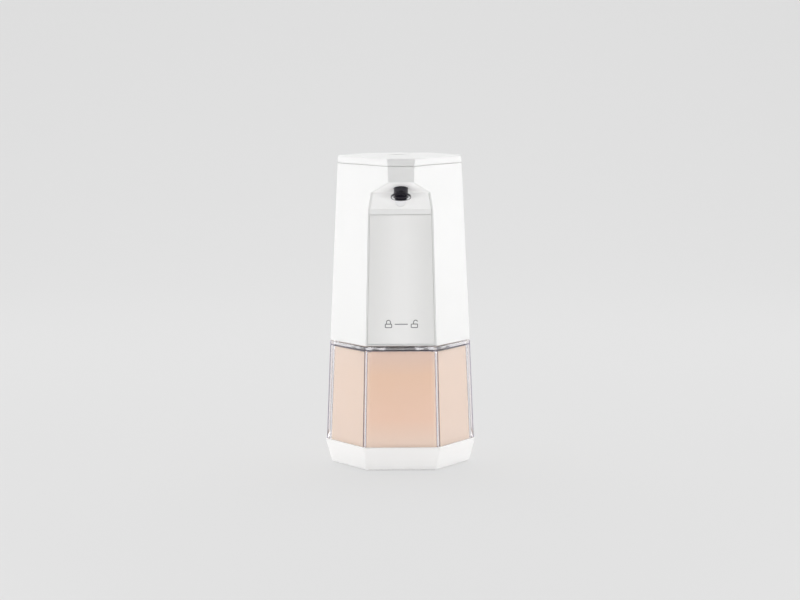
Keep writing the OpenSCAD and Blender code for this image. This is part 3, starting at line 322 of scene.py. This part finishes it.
def make_white_plastic():
    """White shell plastic with painted shade: a little greyer on faces that look straight to the front."""
    material, tree, shader = white_moulded("white_plastic", (0.87, 0.87, 0.865))
    # Painted shade: faces that look to the front get a greyer white.
    painted_front_shade = place_group(tree, FACING_MASK, Direction=(0.0, -1.0, 0.0), Start=0.90, Full=0.97)
    shade_where(tree, shader, painted_front_shade["Mask"], (0.795, 0.795, 0.79))
    return material


def make_panel_plastic():
    """White front panel with painted shade: a little greyer toward its two upright edges."""
    material, tree, shader = white_moulded("panel_plastic", (0.875, 0.872, 0.865))
    # Painted shade: the white turns greyer toward the panel's upright edges.
    edges = place_group(tree, OFF_CENTRE_MASK, Start=0.08, Full=0.48)
    shade_where(tree, shader, edges["Mask"], (0.765, 0.765, 0.755))
    return material


def make_base_plastic():
    """White of the base, made the brightest of the housing as painted light."""
    return white_moulded("base_plastic", (0.955, 0.95, 0.945))[0]


def make_bezel_plastic():
    """White plate with painted shade on its upright faces and painted light: a brighter face where it looks
    down at the hand.
    """
    material, tree, shader = white_moulded("bezel_plastic", (0.835, 0.835, 0.83))
    # Painted light: faces that look down get a brighter white than the darker upright faces.
    down = place_group(tree, FACING_MASK, Direction=(0.0, 0.0, -1.0), Start=0.15, Full=0.40)
    shade_where(tree, shader, down["Mask"], (0.95, 0.945, 0.94))
    return material


def make_nozzle_ring():
    """Bright ring with painted shade: its front and back are painted dark, so that it shines only at both
    sides of the tube.
    """
    material, tree, shader, _ = skinned(
        "nozzle_ring_metal", TURNED_METAL, Colour=opaque((0.80, 0.80, 0.82)), Roughness=0.25, Streaks=0.1
    )
    # Painted shade: the front and back of the ring are painted nearly black.
    middle = place_group(tree, OFF_CENTRE_MASK, Start=0.36, Full=0.28)
    shade_where(tree, shader, middle["Mask"], (0.02, 0.018, 0.025))
    shader.inputs["Metallic"].default_value = 1.0
    return material


# Painted shade: dark lines painted on the bottle's wall where its corners and the liquid's level look dark
# through the clear plastic, with angles as seen from its axis.
# A line rises from its edge to full strength at a share of its width from the corner.
HALF_FACET = math.radians(30)
CORNER_LINE = math.radians(1.9)
THIN_LINE = math.radians(0.2)
THIN_LINE_REACH = 15 * MM
LINE_CORE = 0.6
SIDE_FACING = 0.6
LEVEL_LINE = 0.8 * MM


def painted_bottle_line_mask(tree):
    """Mask of the painted dark lines of shade along the corners of the bottle's side facets and just above
    the liquid, on the outside only.
    """
    x, y, z = surface_axes(tree, "Object")
    facing_x, facing_y, _ = surface_axes(tree, "Normal")

    # The line at the left and right corners is thin on the facets that look back
    beside = rising_mask(tree, math_node(tree, "ABSOLUTE", y), THIN_LINE_REACH, 0.0)
    behind = math_node(tree, "GREATER_THAN", facing_y, 0.0)
    thin = math_node(tree, "MULTIPLY", beside, behind)
    loss = math_node(tree, "MULTIPLY", thin, CORNER_LINE - THIN_LINE)
    width = math_node(tree, "SUBTRACT", CORNER_LINE, loss)

    # Angle from the middle of the nearest facet, which grows to half a facet at a corner
    from_facet = math_node(tree, "PINGPONG", math_node(tree, "ARCTAN2", x, y), HALF_FACET)
    start = math_node(tree, "SUBTRACT", HALF_FACET, width)
    full = math_node(tree, "SUBTRACT", HALF_FACET, math_node(tree, "MULTIPLY", width, LINE_CORE))
    aside = math_node(tree, "GREATER_THAN", math_node(tree, "ABSOLUTE", facing_x), SIDE_FACING)
    corner = math_node(tree, "MULTIPLY", rising_mask(tree, from_facet, start, full), aside)

    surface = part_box("sanitizer_fill")[1].z
    above = math_node(tree, "GREATER_THAN", z, surface)
    below = math_node(tree, "LESS_THAN", z, surface + LEVEL_LINE)
    level = math_node(tree, "MULTIPLY", above, below)

    along_x = math_node(tree, "MULTIPLY", x, facing_x)
    along_y = math_node(tree, "MULTIPLY", y, facing_y)
    outside = math_node(tree, "GREATER_THAN", math_node(tree, "ADD", along_x, along_y), 0.0)
    return math_node(tree, "MULTIPLY", math_node(tree, "MAXIMUM", corner, level), outside)


def make_clear_plastic():
    """Clear polished wall, a little wavy, with painted dark lines of shade at its corners and just above the
    liquid.
    """
    material, tree, shader = moulded(
        "clear_plastic",
        (0.96, 0.95, 1.0),
        roughness=0.02,
        clouding=0.01,
        gloss=0.008,
        grain=90.0,
        depth=0.02 * MM,
    )
    # Painted shade: dark lines painted into the wall's colour.
    shade_where(tree, shader, painted_bottle_line_mask(tree), (0.12, 0.10, 0.18))
    set_sockets(
        shader,
        {
            "Transmission Weight": 1.0,
            "IOR": 1.49,
            "Sheen Weight": 0.5,
            "Sheen Roughness": 0.3,
            "Coat Weight": 0.15,
            "Coat Roughness": 0.02,
        },
    )
    return material


# Painted light and shade: the liquid's colours, paler toward the bottom and greyer near its surface, start
# above the bottom of the fill and end past its surface
COLOURS_START = 3.8 * MM
COLOURS_END = 0.9 * MM
LIQUID_BOTTOM = (0.925, 0.76, 0.61)
LIQUID_LOWER = (0.93, 0.625, 0.44)
LIQUID_UPPER = (0.888, 0.593, 0.396)
LIQUID_SURFACE = (0.80, 0.585, 0.46)
LOWER_STOP = 0.35
UPPER_STOP = 0.75
# Painted light: faces that look sideways are painted paler; the clouds are paler too
LIQUID_PAINTED_SIDE_LIGHT = (0.90, 0.70, 0.53)
SIDE_START = 0.25
SIDE_FULL = 0.80
SIDE_SHARE = 0.85
LIQUID_CLOUD = (0.93, 0.80, 0.72)
CLOUD_SHARE = 0.12


def make_liquid():
    """Milky peach liquid with painted light and shade: greyer near its surface, paler toward the bottom and
    at the sides, with slow clouds.
    """
    material, tree, shader = start_material("milky_liquid")
    fill_low, fill_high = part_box("sanitizer_fill")
    _, _, height = surface_axes(tree, "Object")
    # Painted light and shade by height: paler toward the bottom, greyer near the surface.
    ramp = tree.nodes.new("ShaderNodeValToRGB")
    level = rising_mask(tree, height, fill_low.z + COLOURS_START, fill_high.z + COLOURS_END)
    tree.links.new(level, ramp.inputs["Fac"])
    stops = ramp.color_ramp.elements
    stops[0].color = opaque(LIQUID_BOTTOM)
    stops[1].color = opaque(LIQUID_SURFACE)
    stops.new(LOWER_STOP).color = opaque(LIQUID_LOWER)
    stops.new(UPPER_STOP).color = opaque(LIQUID_UPPER)
    facing_x, _, _ = surface_axes(tree, "Normal")
    sideways = rising_mask(tree, math_node(tree, "ABSOLUTE", facing_x), SIDE_START, SIDE_FULL)
    side = math_node(tree, "MULTIPLY", sideways, SIDE_SHARE)
    swirl = noise(tree, scale=45.0, detail=3.0, Scale=(1.0, 1.0, 0.5))
    cloud = math_node(tree, "MULTIPLY", swirl, CLOUD_SHARE)
    tree.links.new(ramp.outputs["Color"], shader.inputs["Base Color"])
    # Painted light: faces that look sideways get a paler colour.
    shade_where(tree, shader, side, LIQUID_PAINTED_SIDE_LIGHT)
    shade_where(tree, shader, cloud, LIQUID_CLOUD)
    tree.links.new(spread(tree, swirl, centre=0.32, width=0.03), shader.inputs["Roughness"])
    shader.inputs["IOR"].default_value = 1.36
    return material


def make_circuit_board():
    """Green laminate with paler copper runs under the varnish."""
    run_depth = 0.02 * MM
    material, tree, shader, _ = skinned(
        "circuit_board",
        MOULDED_SKIN,
        Colour=opaque((0.02, 0.13, 0.06)),
        Clouding=0.2,
        Roughness=0.35,
        Gloss_Spread=0.05,
        Grain_Scale=5000.0,
    )
    runs = tree.nodes.new("ShaderNodeTexBrick")
    set_sockets(
        runs,
        {
            "Scale": 120.0,
            "Mortar Size": 0.06,
            "Color1": opaque((0.0, 0.0, 0.0)),
            "Color2": opaque((0.25, 0.25, 0.25)),
            "Mortar": opaque((1.0, 1.0, 1.0)),
        },
    )
    upright = object_place(tree, Rotation=(math.radians(90), 0.0, 0.0))
    tree.links.new(upright, runs.inputs["Vector"])
    shade_where(tree, shader, runs.outputs["Color"], (0.06, 0.30, 0.14))
    add_bump(tree, shader, runs.outputs["Fac"], run_depth)
    return material


def make_battery_wrap():
    """Shrink-wrapped cell: blue film with a pale band at its upper end."""
    band = 9 * MM
    material, tree, shader = moulded(
        "battery_wrap",
        (0.03, 0.13, 0.33),
        roughness=0.22,
        clouding=0.15,
        gloss=0.05,
        grain=400.0,
        depth=0.03 * MM,
    )
    _, _, height = surface_axes(tree, "Object")
    above = math_node(tree, "GREATER_THAN", height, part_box("battery_cell")[1].z - band)
    shade_where(tree, shader, above, (0.62, 0.64, 0.66))
    return material


WHITE = make_white_plastic()
PANEL_WHITE = make_panel_plastic()
BASE_WHITE = make_base_plastic()
BEZEL_WHITE = make_bezel_plastic()
CLEAR = make_clear_plastic()
LIQUID = make_liquid()
BLACK_GLOSS = moulding(
    "black_gloss",
    (0.012, 0.010, 0.018),
    roughness=0.16,
    clouding=0.1,
    gloss=0.02,
    grain=1200.0,
    depth=0.001 * MM,
)
WINDOW = moulding(
    "sensor_window", (0.85, 0.85, 0.86), roughness=0.18, clouding=0.04, gloss=0.02, depth=0.001 * MM
)
GREY = moulding("grey_plastic", (0.27, 0.28, 0.30), roughness=0.42, clouding=0.08)
PALE = moulding("natural_plastic", (0.67, 0.67, 0.63), roughness=0.45, clouding=0.10)
DARK = moulding("dark_plastic", (0.016, 0.016, 0.019), roughness=0.45, clouding=0.2)
LENS = moulding(
    "emitter_lens",
    (0.62, 0.68, 0.82),
    roughness=0.08,
    clouding=0.05,
    gloss=0.01,
    grain=600.0,
    depth=0.001 * MM,
)
PAD_RUBBER = moulding(
    "pad_rubber",
    (0.075, 0.075, 0.082),
    roughness=0.72,
    clouding=0.25,
    gloss=0.08,
    grain=2200.0,
    depth=0.02 * MM,
)
COVER_RUBBER = moulding(
    "cover_rubber",
    (0.46, 0.465, 0.48),
    roughness=0.62,
    clouding=0.10,
    gloss=0.06,
    grain=2600.0,
    depth=0.012 * MM,
)
HOSE = moulding("silicone_hose", (0.62, 0.65, 0.68), roughness=0.35, clouding=0.12)
RED_WIRE = moulding("red_wire", (0.50, 0.012, 0.010), roughness=0.38, clouding=0.1)
BLACK_WIRE = moulding("black_wire", (0.018, 0.018, 0.018), roughness=0.38, clouding=0.1)
YELLOW_WIRE = moulding("yellow_wire", (0.62, 0.58, 0.03), roughness=0.38, clouding=0.1)
BOARD = make_circuit_board()
RING = make_nozzle_ring()
STEEL = metal("plain_steel", (0.55, 0.56, 0.58), roughness=0.30)
COPPER = metal("wound_copper", (0.70, 0.33, 0.16), roughness=0.36, streaks=0.6)
MAGNET = metal("sintered_magnet", (0.06, 0.06, 0.065), roughness=0.55, streaks=0.4)
BATTERY = make_battery_wrap()
INK = moulding(
    "printed_ink", (0.16, 0.16, 0.168), roughness=0.55, clouding=0.25, grain=6000.0, depth=0.002 * MM
)

FINISHES = {
    WHITE: ["head_shell", "top_lid", "bottle_socket", "power_button"],
    PANEL_WHITE: ["front_panel"],
    BASE_WHITE: ["base_shell"],
    BEZEL_WHITE: ["spout_bezel"],
    CLEAR: ["bottle"],
    LIQUID: ["sanitizer_fill"],
    BLACK_GLOSS: ["nozzle"],
    WINDOW: ["sensor_window"],
    GREY: ["nozzle_nut", "nozzle_elbow"],
    PALE: ["chassis", "pump_body", "pump_cover", "dip_tube"],
    DARK: ["switch_plunger", "tact_switch", "board_components", "motor_end_cap", "ir_receiver"],
    LENS: ["ir_emitter"],
    PAD_RUBBER: ["foot_pad", "neck_gasket", "shaft_seal"],
    COVER_RUBBER: ["port_cover"],
    HOSE: ["inlet_hose", "outlet_hose"],
    RED_WIRE: ["battery_leads"],
    BLACK_WIRE: ["motor_leads"],
    YELLOW_WIRE: ["sensor_leads"],
    BOARD: ["main_board", "sensor_board", "switch_board"],
    RING: ["nozzle_ring"],
    STEEL: [
        "socket_screws",
        "switch_screws",
        "sensor_screws",
        "chassis_screws",
        "board_screws",
        "pump_screws",
        "charge_socket",
        "motor_can",
        "motor_shaft",
        "drive_gear",
        "idler_gear",
        "idler_pin",
    ],
    COPPER: ["motor_armature"],
    MAGNET: ["motor_magnets"],
    BATTERY: ["battery_cell"],
}


def finish_nodes():
    """Gives every CAD node its finish."""
    for material, names in FINISHES.items():
        for name in names:
            mesh = nodes[name].data
            mesh.materials.clear()
            mesh.materials.append(material)


def let_light_into_bottle():
    """Lets the lamps' light pass the clear wall to the liquid behind it."""
    nodes["bottle"].visible_shadow = False
    nodes["bottle"].visible_diffuse = False


# Edges

WELD_GAP = 0.002 * MM
FLAT_ANGLE = math.radians(0.4)
SHARP_ANGLE = math.radians(35)
EDGE_ROUND = {
    "base_shell": 0.35 * MM,
    "head_shell": 0.18 * MM,
    "front_panel": 0.06 * MM,
    "spout_bezel": 0.06 * MM,
    "top_lid": 0.15 * MM,
    "bottle": 0.25 * MM,
    "nozzle": 0.25 * MM,
    "power_button": 0.25 * MM,
    "port_cover": 0.25 * MM,
    "foot_pad": 0.3 * MM,
}


def round_sharp_edges(node, width):
    """Joins the triangles of flat faces, then rounds the edges between faces."""
    flat = node.modifiers.new("flat_faces", "DECIMATE")
    flat.decimate_type = "DISSOLVE"
    flat.angle_limit = FLAT_ANGLE
    bevel = node.modifiers.new("edge_round", "BEVEL")
    bevel.width = width
    bevel.segments = 2
    bevel.limit_method = "ANGLE"
    bevel.angle_limit = SHARP_ANGLE
    bevel.use_clamp_overlap = False


def soften_edges():
    """Rounds the sharp edges of what shows, and shades each node smooth between its edges."""
    for name, node in nodes.items():
        weld = node.modifiers.new("weld", "WELD")
        weld.merge_threshold = WELD_GAP
        if name in EDGE_ROUND:
            round_sharp_edges(node, EDGE_ROUND[name])
        tone = node.modifiers.new("face_normals", "WEIGHTED_NORMAL")
        tone.keep_sharp = True


# Printed signs

# Section of a printed line, in shares of its width and of its height above the face
INK_SECTION = ((-0.5, -0.4), (-0.4, 1.0), (0.4, 1.0), (0.5, -0.4))
INK_WIDTH = 0.55 * MM
INK_HEIGHT = 0.03 * MM
MITRE_LIMIT = 0.5

# Level of the upper edges of the locks' bodies above the panel's lower edge, and places from its middle
SIGN_LEVEL = 12.4 * MM
CLOSED_LOCK = -7.8 * MM
OPEN_LOCK = 8.2 * MM
RULE_LEFT = -3.9 * MM
RULE_RIGHT = 4.1 * MM
RULE_DROP = 0.1 * MM

# Two rays find the panel's face at this distance from its lower and upper edge
PROBE_INSET = 10 * MM

LOCK_HALF_WIDTH = 1.95 * MM
LOCK_HEIGHT = 2.15 * MM
LOCK_CORNER = 0.35 * MM
SHACKLE_RADIUS = 1.25 * MM
SHACKLE_RISE = 1.15 * MM
SWUNG_FOOT = -0.5 * MM
SWUNG_CENTRE = 0.75 * MM
SWUNG_END = 20


def ink_stroke(mesh, path, closed, place):
    """Adds a raised flat line along a path of (across, up) points."""
    count = len(path)
    sides = len(INK_SECTION)
    rings = []
    for i, point in enumerate(path):
        before = path[(i - 1) % count] if closed or i else point
        after = path[(i + 1) % count] if closed or i < count - 1 else point
        first = Vector((point[0] - before[0], point[1] - before[1]))
        second = Vector((after[0] - point[0], after[1] - point[1]))
        first = first.normalized() if first.length else second.normalized()
        second = second.normalized() if second.length else first
        square = Vector((-first.y, first.x))
        side = (square + Vector((-second.y, second.x))).normalized()
        side = side / max(MITRE_LIMIT, side.dot(square))
        ring = []
        for share, lift in INK_SECTION:
            across = Vector(point) + side * (share * INK_WIDTH)
            ring.append(mesh.verts.new(place(across.x, across.y, lift * INK_HEIGHT)))
        rings.append(ring)
    for i in range(count if closed else count - 1):
        a = rings[i]
        b = rings[(i + 1) % count]
        for k in range(sides):
            mesh.faces.new((a[k], b[k], b[(k + 1) % sides], a[(k + 1) % sides]))
    if not closed:
        mesh.faces.new(rings[0])
        mesh.faces.new(list(reversed(rings[-1])))


def arc(centre, radius, start, end, count):
    """Points of an arc, angles in degrees."""
    turns = [math.radians(start + (end - start) * i / count) for i in range(count + 1)]
    return [(centre[0] + radius * math.cos(t), centre[1] + radius * math.sin(t)) for t in turns]


def rounded_box(left, bottom, right, top, radius):
    """Closed outline of a box with round corners."""
    corners = (
        ((right - radius, bottom + radius), -90),
        ((right - radius, top - radius), 0),
        ((left + radius, top - radius), 90),
        ((left + radius, bottom + radius), 180),
    )
    return [point for centre, turn in corners for point in arc(centre, radius, turn, turn + 90, count=4)]


def lock_sign(x, level, swung):
    """Paths of a padlock's body and shackle, each with whether it is closed."""
    body = rounded_box(x - LOCK_HALF_WIDTH, level - LOCK_HEIGHT, x + LOCK_HALF_WIDTH, level, LOCK_CORNER)
    top = level + SHACKLE_RISE
    if swung:
        bow = arc((x + SWUNG_CENTRE, top), SHACKLE_RADIUS, start=180, end=SWUNG_END, count=10)
        shackle = [(x + SWUNG_FOOT, level)] + bow
    else:
        bow = arc((x, top), SHACKLE_RADIUS, start=180, end=0, count=12)
        shackle = [(x - SHACKLE_RADIUS, level)] + bow + [(x + SHACKLE_RADIUS, level)]
    return [(body, True), (shackle, False)]


def panel_place(panel_low, panel_high):
    """Maps (across, up) on the front panel to space, with a lift off its face."""
    panel = nodes["front_panel"]
    backward = Vector((0.0, 1.0, 0.0))
    spots = []
    for up in (panel_low.z + PROBE_INSET, panel_high.z - PROBE_INSET):
        _, spot, _, _ = panel.ray_cast(Vector((0.0, cad_low.y, up)), backward)
        spots.append(spot)
    low, high = spots
    outward = Vector((1.0, 0.0, 0.0)).cross(high - low).normalized()

    def place(across, up, lift):
        share = (up - low.z) / (high.z - low.z)
        return low + (high - low) * share + Vector((across, 0.0, 0.0)) + outward * lift

    return place


def print_piece(name, strokes, place, body):
    """A printed sign as one piece that rides on a body."""
    mesh = bmesh.new()
    for path, closed in strokes:
        ink_stroke(mesh, path, closed, place)
    bmesh.ops.recalc_face_normals(mesh, faces=mesh.faces)
    data = bpy.data.meshes.new(name)
    mesh.to_mesh(data)
    mesh.free()
    data.materials.append(INK)
    piece = bpy.data.objects.new(name, data)
    bpy.context.scene.collection.objects.link(piece)
    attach(piece, body)


def print_signs():
    """Closed and open padlock signs with a line between them, on the front panel."""
    panel_low, panel_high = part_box("front_panel")
    level = panel_low.z + SIGN_LEVEL
    rule = [(RULE_LEFT, level - RULE_DROP), (RULE_RIGHT, level - RULE_DROP)]
    strokes = lock_sign(CLOSED_LOCK, level, False) + lock_sign(OPEN_LOCK, level, True) + [(rule, False)]
    print_piece("lock_signs", strokes, panel_place(panel_low, panel_high), "head")


# Stage

FLOOR_HALF_WIDTH = 7.0
FLOOR_FRONT = -6.0
SWEEP_START = 1.2
SWEEP_RADIUS = 1.2
BACKDROP_TOP = 5.0
FLOOR_WHITE = (0.88, 0.88, 0.88)
SHOWN_GREY = (0.737, 0.737, 0.737)
SHOWN_SHARE = 0.84


def pale_to_eye(tree, lit):
    """Shows a set grey to camera, mirror and glass rays, over a share of the lit surface."""
    ray = tree.nodes.new("ShaderNodeLightPath").outputs
    seen = math_node(tree, "MAXIMUM", ray["Is Camera Ray"], ray["Is Glossy Ray"])
    seen = math_node(tree, "MAXIMUM", seen, ray["Is Transmission Ray"])
    glow = tree.nodes.new("ShaderNodeEmission")
    glow.inputs["Color"].default_value = opaque(SHOWN_GREY)
    mix = tree.nodes.new("ShaderNodeMixShader")
    factor, under, over = mix.inputs
    tree.links.new(math_node(tree, "MULTIPLY", seen, SHOWN_SHARE), factor)
    tree.links.new(lit, under)
    tree.links.new(glow.outputs["Emission"], over)
    return mix.outputs["Shader"]


def make_stage_paint():
    """Matt paint of the floor and backdrop, which keeps the part's shadow."""
    material, tree, shader = start_material("studio_floor")
    shader.inputs["Base Color"].default_value = opaque(FLOOR_WHITE)
    shader.inputs["Roughness"].default_value = 0.9
    tree.links.new(pale_to_eye(tree, shader.outputs["BSDF"]), tree.nodes["Material Output"].inputs["Surface"])
    return material


def build_stage():
    """A pale floor that curves up behind into a backdrop."""
    profile = [(FLOOR_FRONT, 0.0), (SWEEP_START, 0.0)]
    profile += arc((SWEEP_START, SWEEP_RADIUS), SWEEP_RADIUS, start=-80, end=0, count=8)
    profile += [(SWEEP_START + SWEEP_RADIUS, BACKDROP_TOP)]
    mesh = bmesh.new()
    rows = [[mesh.verts.new((x, y, z)) for x in (-FLOOR_HALF_WIDTH, FLOOR_HALF_WIDTH)] for y, z in profile]
    for a, b in zip(rows, rows[1:]):
        mesh.faces.new((a[0], a[1], b[1], b[0])).smooth = True
    data = bpy.data.meshes.new("studio_floor")
    mesh.to_mesh(data)
    mesh.free()
    data.materials.append(make_stage_paint())
    floor = bpy.data.objects.new("studio_floor", data)
    bpy.context.scene.collection.objects.link(floor)


def build_world():
    """Even pale light from all round."""
    world = bpy.data.worlds.new("studio_world")
    bpy.context.scene.world = world
    world.use_nodes = True
    background = world.node_tree.nodes["Background"]
    background.inputs["Color"].default_value = opaque((0.80, 0.80, 0.80))
    background.inputs["Strength"].default_value = 0.38


# Lights, in metres and watts

MIDDLE = (0.0, 0.0, 0.1)
UNDER_NOSE = (0.0, -0.02, 0.13)
BACKDROP_FOOT = (0.0, 1.5, 0.0)


def soft_lamp(name, place, aim, size, power):
    """A rectangular soft light that points at a place."""
    data = bpy.data.lights.new(name, "AREA")
    data.shape = "RECTANGLE"
    data.size, data.size_y = size
    data.energy = power
    lamp = bpy.data.objects.new(name, data)
    lamp.location = place
    lamp.rotation_mode = "QUATERNION"
    lamp.rotation_quaternion = (Vector(aim) - Vector(place)).to_track_quat("-Z", "Y")
    bpy.context.scene.collection.objects.link(lamp)
    return lamp


def low_fill(name, place):
    """A lamp that lights the underside of the nose and doesn't show in clear or shiny surfaces."""
    lamp = soft_lamp(name, place, aim=UNDER_NOSE, size=(0.7, 0.25), power=2.05)
    lamp.visible_transmission = False
    lamp.visible_glossy = False


def build_lights():
    """Softboxes and low fills at both sides, a large softbox above and one over the backdrop."""
    for name, side in (("left", -1), ("right", 1)):
        beside = (side * 1.3, -0.25, 0.30)
        beside_rear = (side * 0.91, 0.525, 0.24)
        soft_lamp(name + "_softbox", beside, aim=MIDDLE, size=(0.9, 1.1), power=2.2)
        soft_lamp(name + "_rear_softbox", beside_rear, aim=MIDDLE, size=(0.56, 0.46), power=1.28)
        low_fill(name + "_low_fill", place=(side * 0.48, -0.42, 0.03))
    soft_lamp("top_softbox", place=(0.0, 0.5, 1.4), aim=MIDDLE, size=(1.9, 1.9), power=18.0)
    soft_lamp("rear_softbox", place=(0.0, 1.6, 1.5), aim=BACKDROP_FOOT, size=(2.4, 1.2), power=8.0)


# Camera

# Distance from the point that it looks at, and that point's height, in metres
CAMERA_DISTANCE = 1.660
CAMERA_AIM = 0.1033
CAMERA_TURN = math.radians(-0.95)
CAMERA_RISE = math.radians(5.57)
CAMERA_ROLL = math.radians(-0.19)
# Focal length and width of the photograph in pixels, and width of the sensor in millimetres
FOCAL_PIXELS = 2628.0
PHOTO_PIXELS = 800.0
SENSOR_WIDTH = 36.0


def build_camera():
    """The photograph's view: a long lens, a little above the middle of the part."""
    level = math.cos(CAMERA_RISE)
    back = Vector((math.sin(CAMERA_TURN) * level, -math.cos(CAMERA_TURN) * level, math.sin(CAMERA_RISE)))
    roll = Matrix.Rotation(CAMERA_ROLL, 3, "Z").to_quaternion()
    data = bpy.data.cameras.new("photo_camera")
    data.sensor_width = SENSOR_WIDTH
    data.lens = FOCAL_PIXELS * SENSOR_WIDTH / PHOTO_PIXELS
    camera = bpy.data.objects.new("photo_camera", data)
    camera.rotation_mode = "QUATERNION"
    camera.location = Vector((0.0, 0.0, CAMERA_AIM)) + back * CAMERA_DISTANCE
    camera.rotation_quaternion = (-back).to_track_quat("-Z", "Y") @ roll
    bpy.context.scene.collection.objects.link(camera)
    bpy.context.scene.camera = camera


def carry_light_in_clear_walls():
    """Lets a ray run far enough along the bottle's wall to come out again."""
    paths = bpy.context.scene.cycles
    paths.max_bounces = 24
    paths.glossy_bounces = 16
    paths.transmission_bounces = 20


finish_nodes()
let_light_into_bottle()
soften_edges()
print_signs()
build_stage()
build_world()
build_lights()
build_camera()
bpy.context.scene.view_settings.view_transform = "Standard"
carry_light_in_clear_walls()
